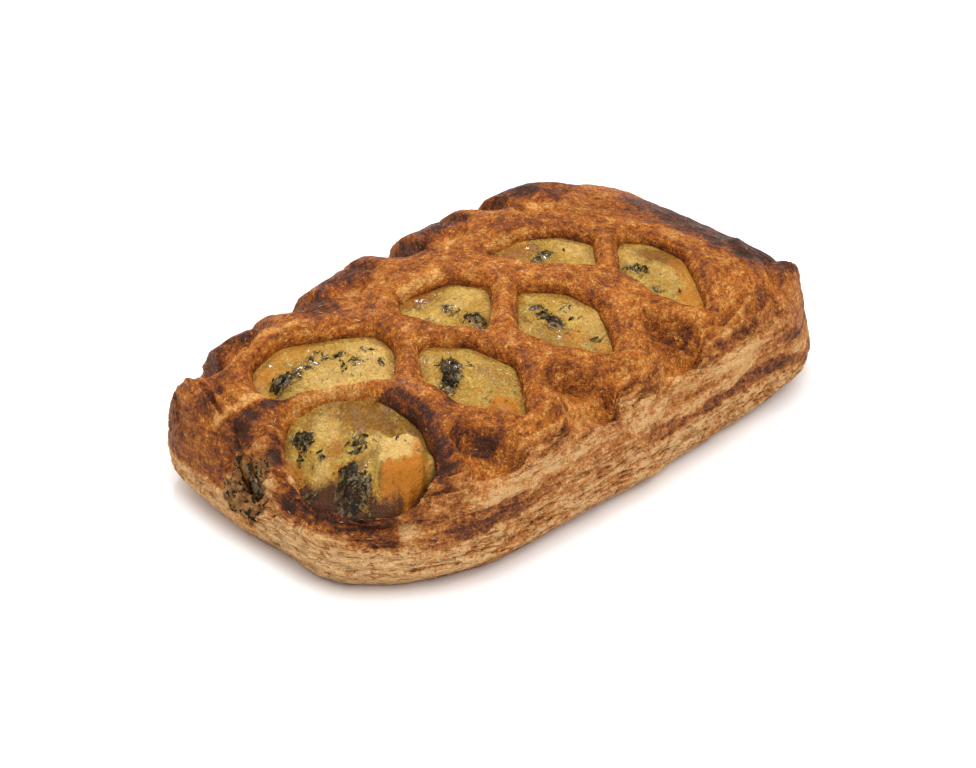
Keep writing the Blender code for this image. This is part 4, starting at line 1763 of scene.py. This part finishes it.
@dataclass
class Filling:
    """The custard that fills the slice and swells up in the windows."""

    form: SliceForm = FORM
    shell: Shell = field(default_factory=lambda: Shell(398, 218, 1))
    grain: Grain = field(default_factory=lambda: Grain(29))
    floor_z: float = 5.5
    least_height: float = 1.0
    cover: float = 9.0  # how far below the crown it lies under the strands
    end_margin: Pair = (2.0, 10.0)  # at the near and the far end
    side_margin: float = 8.0
    # In a window it starts below the crown and swells up towards the middle
    edge_level: float = -0.9
    swell: float = 0.5
    swell_reach: float = 5.0
    lumps: tuple[Spot, ...] = (
        Spot(-55.6, -26.4, 5.4, 3.4, 1.15, 52, 0.24, 5), Spot(-63.5, -20.5, 5, 1.6, 1.4, 60),
        Spot(-57, -6, 5, 0.7, 1.4), Spot(-29, -16, 5, 1.4, 1.6, 70),
        Spot(-28.5, -29, 4, 1.2), Spot(-54, 11.5, 3.2, 1.6, 1.4, 120),
        Spot(-38, 2, 6, 0.9, 1.3), Spot(-11.5, -3.5, 4.5, 1.3, 1.4, 100),
        Spot(-16.5, 3.5, 3, 0.9, 1.4, 60), Spot(0.5, -14, 4, 1.1, 1.5, 100),
        Spot(4, -29, 3, 1), Spot(20, 5, 4, 0.9, 1.4),
        Spot(32, -13, 4, 1.1), Spot(38, -16, 4, 0.8, 1.5, 100),
        Spot(-71.5, 5, 6, 2.5, 1.5, 90),
    )
    sinks: tuple[Spot, ...] = (
        Spot(-47.5, -20, 4.5, 2.4, 2.4, 100), Spot(-57, -14, 15, 0.6),
        Spot(-66, -6, 4, 1.2, 2, 75),
    )
    cream: tuple[Spot, ...] = (
        Spot(-56.8, -5, 4.4, 0.8, 1.5, 60), Spot(-63, -9.5, 2.8, 0.9, 1.3),
        Spot(-53.5, -16.5, 3, 0.6, 1.4, 100), Spot(-54.2, -24.2, 4.4, 1.3, 1.3, 142, 0.4, 4),
        Spot(-44.5, 1.5, 9.5, 0.8, 1.6, 135), Spot(-35, 5, 5, 0.9, 1.6, 110),
        Spot(-23.5, -16, 5, 0.35, 1.6, 100), Spot(-30, -8, 4, 0.4),
        Spot(-6, 6, 6.5, 0.45, 1.5), Spot(-16.3, 3.5, 3, 0.5, 1.6, 60),
        Spot(9, -19, 6, 0.55, 1.6, 100), Spot(30, 3, 5.5, 0.6, 1.5, 120),
        Spot(14, 12.5, 3, 0.5, 1.6), Spot(39, -6.5, 5, 0.5, 1.5),
        Spot(37.5, -17.5, 3.5, 0.6, 1.8, 80),
    )
    film: tuple[Spot, ...] = (
        Spot(-50, -10, 6.5, 0.9, 1.9, 110), Spot(-61, -18, 3.6, 0.8, 1.3, 60),
        Spot(-56, 1, 4, 0.3, 1.5, 40), Spot(-59.4, -9.6, 3.4, 0.55, 1.3, soft=1),
        Spot(-22, -21, 4.5, 0.4, 1.8, 100), Spot(-2, -20, 6, 0.5, 1.4, 100),
        Spot(19, 10.5, 5.5, 0.75, 1.8), Spot(-12.5, 11.5, 5, 0.7, 1.6),
        Spot(-52, 16, 6, 0.35, 1.8, 140), Spot(-70.5, 5, 6, 0.9, 1.6, 90),
        Spot(43, -12, 7, 1, 1.6, 105),
    )
    toast: tuple[Spot, ...] = (
        Spot(-58.4, -29.6, 4.2, 1.2, 1.5, 142, 0.4, 4), Spot(-52.4, -28.6, 2.6, 0.7, 1.8, 55, 0.5),
        Spot(-59.4, -9.6, 3.2, 0.45, 1.3, soft=1), Spot(-62.5, -14.5, 2.2, 0.7, 1.5, 60),
        Spot(-67, -5, 3.6, 0.8, 2.6, 75), Spot(-71.5, 5, 5, 0.5, 1.6, 90),
        Spot(-28.3, -29.5, 4.6, 1, 1.2), Spot(-55, 18, 4, 0.55, 2, 140),
        Spot(-46, 18.5, 4, 0.45, 2.4, 150), Spot(-13, 12.8, 3.5, 0.8, 1.8),
        Spot(18, 12.5, 3.5, 0.55, 2), Spot(34.5, -28.5, 4.5, 0.8, 1.3, 70),
        Spot(42, -20, 5, 0.6, 1.8, 70), Spot(1.5, -22, 3.5, 0.45, 1.4),
        Spot(4, -29.5, 3, 0.5),
    )
    scorch: tuple[Spot | Stroke, ...] = (
        Stroke(((-71, -6), (-71, -16), (-68.5, -26), (-63, -33)), 7, 1.1),
        Stroke(((-63, -33.5), (-58, -36), (-51, -34)), 4, 0.6),
        Spot(-66.5, -17, 5, 0.8, 2, 110), Spot(-67.5, -9.5, 3.2, 0.5),
        Spot(-72, 4, 6, 0.34, 1.6, 90), Spot(-13.5, 12.2, 4.4, 0.35, 1.8),
        Spot(16.5, 12.6, 4, 0.3, 1.8),
    )
    spinach: tuple[Spot, ...] = (
        Spot(-64.3, -20.6, 5.4, 1.1, 1.5, 60), Spot(-62, -16.5, 2.6, 0.8, 1.6, 60),
        Spot(-60.6, -1.2, 2.5, 1.1, 1.7, 100), Spot(-62.4, -2.8, 1.4, 1),
        Spot(-56.2, -13.6, 3.2, 0.85, 1.5, 60), Spot(-61.5, -8, 1.1, 1),
        Spot(-53.5, -18.5, 2, 0.5, 2.2, 70), Spot(-67.8, -10.5, 2.4, 0.9, 1.6, 100),
        Spot(-54.3, 11.6, 2.7, 1.2, 1.8, -25), Spot(-47.5, 11.6, 2.4, 0.8, 2.4, -10),
        Spot(-40.5, 9.6, 1.6, 0.95, 3.2, -25), Spot(-35.3, 5.5, 1.2, 0.95, 3, 95),
        Spot(-36.6, -0.3, 1.3, 0.9, 1.6, 60), Spot(-40.5, 4.5, 4, 0.66, 1.6, 150),
        Spot(-43.6, 13.6, 1.6, 0.8, 2, 20), Spot(-28.8, -14, 3.6, 1.15, 1.9, 60),
        Spot(-33.3, -17.3, 3.2, 1, 1.8, 20), Spot(-24.5, -14.5, 2, 0.45, 1.6, 100),
        Spot(-11.5, -4.6, 3.4, 1.1, 1.7, 95), Spot(-11.6, 4, 2.4, 0.7, 2, 60),
        Spot(0.9, -15, 3.1, 1.05, 1.9, 100), Spot(2.8, -9, 2, 0.8, 1.8, 110),
        Spot(8, -13.5, 1.8, 0.7, 1.8, 40), Spot(4.3, -25.6, 1.5, 0.75, 1.8, 20),
        Spot(7.4, -18.6, 1.1, 0.6), Spot(21, 5.6, 3, 1, 1.7, 20),
        Spot(17, 4.6, 1.8, 0.6, 1.8), Spot(32.2, -13.2, 2.6, 1.1, 1.5, 120),
        Spot(30.4, -21.4, 1.6, 0.8, 1.5, 100), Spot(-71.8, 3.6, 3, 1.2, 2.2, 90),
        Spot(-70.8, 9.6, 1.6, 0.7),
    )

    # Over the distance inside a window
    SHOWN = Rise(-2.6, 1.4)
    LUMPED = Rise(0, 1.8)
    ROUGH = Rise(-0.5, 2)
    RIMMED = Rise(0.6, 2.4)
    LEAFY = Rise(2.2, 0.8)
    STRAYED = Rise(4, 1.5)

    def height(self, x: Array, y: Array) -> tuple[Array, Array]:
        """The filling's surface.

        Args:
            x, y: Places on the slice.

        Returns:
            Its height, and how far inside a window each place is.
        """
        inside = -Lattice.nearest(Lattice.OPEN, x, y)[0]
        crown = self.form.crown(x, y) - self.form.notch_depth * self.form.notch(x, y)
        swell = self.edge_level + self.swell * (1 - np.exp(-np.maximum(inside, 0) / self.swell_reach))
        ragged = 0.16 * self.grain(x / 3, y / 3, 3.0)
        lumps = np.zeros(np.shape(x))
        for lump in self.lumps:
            lumps = np.maximum(lumps, lump.cover(x, y, ragged))
        uneven = 0.50 * self.grain.fractal(x / 5, y / 5, 1.0)
        uneven = uneven + 0.44 * self.grain.fractal(x / 1.9, y / 1.9, 2.0)
        leafy = paint(self.spinach, x, y) * 0.5 * np.abs(self.grain(x / 1.3, y / 1.3, 9.0))
        top = swell - paint(self.sinks, x, y) + self.LUMPED(inside) * (lumps + leafy)
        top = top + uneven * self.ROUGH(inside)
        surface = crown + mix(-self.cover, top, self.SHOWN(inside))
        return np.maximum(surface, self.floor_z + self.least_height), inside

    def build(self) -> Piece:
        """Makes the filling's mesh and paints what its finish reads."""
        u, v = self.shell.grid()
        u = u * (1 - np.where(u > 0, self.end_margin[1], self.end_margin[0]) / (self.form.length / 2))
        v = v * (1 - self.side_margin / (self.form.width / 2))
        x, y = self.form.side(u, v, np.full_like(u, self.form.rim_z))
        z, inside = self.height(*self.form.plan(u, v, self.form.rim_z))
        top = np.stack([x, y, z], -1)
        side = top[self.shell.rim()]
        side[:, 2] = self.floor_z
        points = np.concatenate([top, side, [[0, 0, self.floor_z]]])
        piece = make_mesh("spinach_feta_filling", points, self.shell.faces(len(top)))

        inside = np.concatenate([inside, np.zeros(len(side) + 1)])
        x, y = points[:, 0], points[:, 1]
        ragged = 0.30 * self.grain.fractal(x / 2.6, y / 2.6, 7.0)
        rimmed = (1 - self.RIMMED(inside)) * np.clip(0.5 + 0.9 * self.grain(x / 7, y / 7, 6.0), 0, 1)
        for name in COVERS:
            cover = np.clip(paint(getattr(self, name), x, y, ragged), 0, 1.2)
            if name == "film":
                cover = np.maximum(cover, 0.75 * rimmed)
            store(piece, name, cover)
        strays = 0.05 * smooth_step(self.grain(x / 4, y / 4, 15.0) * 3) * self.STRAYED(inside)
        cover = np.clip(paint(self.spinach, x, y, ragged) - 0.18, 0, 1) + strays
        store(piece, "leafy", cover * self.LEAFY(inside))
        store(piece, "heading", np.tile([1.0, 0.0, 0.0], (len(points), 1)))
        return piece


@dataclass
class SpinachShreds:
    """Shreds of leaf that lie in the custard."""

    outline: int = 11  # points round a shred
    seeds: tuple[int, ...] = (1, 2, 3, 4, 5)
    scatter: Scatter = field(
        default_factory=lambda: Scatter("spinach_shreds", 4.2e5, 0.35, 1.0, 0.3, 5, "leafy")
    )

    WAVES = (0.34, 0.26)  # height of the crumpling along and across
    INNER = (0.55, 0.09, 0.1)  # share of the outline, half thickness there and in the middle
    LIFT = 0.3

    def shape(self, seed: int) -> Piece:
        """Makes one crumpled shred, about a millimetre and a half long and closed all round.

        Args:
            seed: Which shred.

        Returns:
            The shred.
        """
        draw = np.random.default_rng(seed)
        turn = np.linspace(0, 2 * math.pi, self.outline, endpoint=False)
        radius = np.clip(1.0 + 0.28 * draw.normal(size=self.outline), 0.55, 1.5)
        length, width = draw.uniform(0.9, 1.6), draw.uniform(0.2, 0.5)
        along, across = self.WAVES
        inner, thick, middle = self.INNER
        rings = []
        for share, offset in ((1.0, 0.0), (inner, thick), (inner, -thick)):
            x, y = length * radius * np.cos(turn) * share, width * radius * np.sin(turn) * share
            crumple = along * np.sin(2.6 * x + seed) + across * np.cos(4.1 * y + 2 * seed) * share
            rings.append(np.stack([x, y, crumple + self.LIFT + offset], -1))
        centre = along * math.sin(seed) + self.LIFT
        points = np.concatenate([*rings, [[0, 0, centre + middle], [0, 0, centre - middle]]])
        count = self.outline
        faces: list[tuple[int, ...]] = []
        for i in range(count):
            j = (i + 1) % count
            faces.append((i, j, count + j, count + i))
            faces.append((j, i, 2 * count + i, 2 * count + j))
            faces.append((count + i, count + j, 3 * count))
            faces.append((2 * count + j, 2 * count + i, 3 * count + 1))
        return make_mesh(f"shred_{seed}", points, faces)

    def build(self, ground: Piece, material: Material) -> Piece:
        """Spreads the shreds where the filling is leafy."""
        return self.scatter.spread(ground, [self.shape(seed) for seed in self.seeds], material)


@dataclass
class PastryFlakes:
    """Thin slivers that peel off the layered sides."""

    name: str
    seeds: tuple[int, ...] = (101, 102, 103, 104)
    steps: int = 5  # rows of points along a sliver

    THICK = (0.08, 0.06)  # above and below its edges

    def shape(self, seed: int) -> Piece:
        """Makes one long thin sliver with a lifted end, closed all round.

        Args:
            seed: Which sliver.

        Returns:
            The sliver.
        """
        draw = np.random.default_rng(seed)
        along = np.linspace(-1, 1, self.steps)
        half = 0.30 * (1 - along**2) + 0.05
        length = draw.uniform(1.2, 2.0)
        lift = 0.10 + 0.16 * (along + 1) ** 2 * draw.uniform(0.2, 0.8)
        wander = 0.15 * draw.normal(size=self.steps)
        top, bottom = lift + self.THICK[0], lift - self.THICK[1]
        corners = ((wander - half, lift), (wander, top), (wander + half, lift), (wander, bottom))
        points = np.stack([np.stack([along * length, y, z], -1) for y, z in corners], 1).reshape(-1, 3)
        sides = len(corners)
        faces: list[tuple[int, ...]] = []
        for row in range(0, (self.steps - 1) * sides, sides):
            for side in range(sides):
                near, far = row + side, row + (side + 1) % sides
                faces.append((near, near + sides, far + sides, far))
        faces.append(tuple(range(sides)))
        faces.append(tuple(range(len(points) - 1, len(points) - 1 - sides, -1)))
        return make_mesh(f"sliver_{seed}", points, faces)

    def build(self, ground: Piece, material: Material) -> Piece:
        """Spreads the slivers over a crust's layered places."""
        scatter = Scatter(self.name, 4.5e4, 0.15, 0.45, 0.1, 8, "layered")
        return scatter.spread(ground, [self.shape(seed) for seed in self.seeds], material)


# ---- Stage ----


@dataclass
class Stage:
    """Floor, light and camera."""

    azimuth: float = -45.57
    elevation: float = 32.44
    distance: float = 600.0
    target: Triple = (-7.4, -4.2, 15.0)
    focal_pixels: float = 2650.0
    image_width: int = 976
    sensor: float = 36.0
    floor_half: float = 1500.0
    world_strength: float = 0.45
    # Name, place in metres, size in metres and power in watts of each square lamp
    lamps: tuple[tuple[str, Triple, float, float], ...] = (
        ("overhead_panel", (0, 0.1, 1.2), 2.2, 23),
        ("front_box", (-0.2, -1.1, 1.3), 1, 12),
        ("glint_lamp", (0.42, 0.6, 0.8), 0.09, 2.8),
    )
    lit_point: Triple = (0.0, 0.0, 0.015)

    def build(self) -> None:
        """Sets up the stage."""
        self.floor()
        self.world()
        for lamp in self.lamps:
            self.area_light(*lamp)
        self.camera()

    def floor(self) -> None:
        """Lays a large plain sheet under the slice."""
        corners = np.array([[-1, -1, 0], [1, -1, 0], [1, 1, 0], [-1, 1, 0]]) * self.floor_half
        floor = make_mesh("floor", corners, [(0, 1, 2, 3)])
        floor.data.materials.append(TableFinish().material())

    def world(self) -> None:
        """Surrounds everything with an even white room."""
        world = bpy.data.worlds.new("studio")
        world.use_nodes = True
        background = world.node_tree.nodes["Background"]
        background.inputs["Color"].default_value = (1.0, 1.0, 1.0, 1.0)
        background.inputs["Strength"].default_value = self.world_strength
        bpy.context.scene.world = world

    def area_light(self, name: str, place: Triple, size: float, power: float) -> None:
        """Hangs a square soft lamp that points at the slice.

        Args:
            name: The lamp's name.
            place: Where it hangs, in metres.
            size: Its side, in metres.
            power: Its power, in watts.
        """
        light = bpy.data.lights.new(name, "AREA")
        light.size = size
        light.energy = power
        lamp = bpy.data.objects.new(name, light)
        lamp.location = place
        lamp.rotation_euler = (Vector(self.lit_point) - Vector(place)).to_track_quat("-Z", "Y").to_euler()
        bpy.context.scene.collection.objects.link(lamp)

    def camera(self) -> None:
        """Sets a long lens at the photograph's angle."""
        turn, rise = math.radians(self.azimuth), math.radians(self.elevation)
        back = Vector((math.sin(turn) * math.cos(rise), -math.cos(turn) * math.cos(rise), math.sin(rise)))
        lens = bpy.data.cameras.new("camera")
        lens.sensor_width = self.sensor
        lens.lens = self.focal_pixels * self.sensor / self.image_width
        lens.clip_start = 0.01
        camera = bpy.data.objects.new("camera", lens)
        place = (Vector(self.target) + back * self.distance) * MM
        camera.matrix_world = Matrix.LocRotScale(place, (-back).to_track_quat("-Z", "Y"), None)
        bpy.context.scene.collection.objects.link(camera)
        bpy.context.scene.camera = camera
        bpy.context.scene.view_settings.view_transform = "Standard"


# ---- Assembly ----


def install(piece: Piece, slot: str, *nodes: str) -> None:
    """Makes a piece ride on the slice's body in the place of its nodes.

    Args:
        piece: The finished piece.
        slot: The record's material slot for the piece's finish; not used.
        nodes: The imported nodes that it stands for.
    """
    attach(piece, "root")
    if nodes:
        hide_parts(*nodes)
    triangles = sum(len(face.vertices) - 2 for face in piece.data.polygons)
    LOG.info("%s: %d triangles", piece.name, triangles)


def main() -> None:
    """Builds the strudel and its stage."""
    logging.basicConfig(level=logging.INFO, format="%(message)s")
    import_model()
    Stage().build()

    pastry = PastryFinish().material()
    flake = FlakeFinish().material()
    lid = FlakyRelief().raise_on(LatticeCrust().build(), pastry)
    base = FlakyRelief().raise_on(BaseCrust().build(), pastry)
    filling = Filling().build()
    filling.data.materials.append(FillingFinish().material())
    shreds = SpinachShreds().build(filling, LeafFinish().material())
    lid_flakes = PastryFlakes("lid_flakes").build(lid, flake)
    base_flakes = PastryFlakes("base_flakes").build(base, flake)

    install(lid, "golden_pastry", "lattice_lid")
    install(base, "pale_pastry", "base_sheet")
    install(filling, "spinach_feta_filling", "filling")
    install(shreds, "spinach_feta_filling")
    install(lid_flakes, "golden_pastry")
    install(base_flakes, "pale_pastry")

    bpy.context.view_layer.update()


if __name__ == "__main__":
    main()
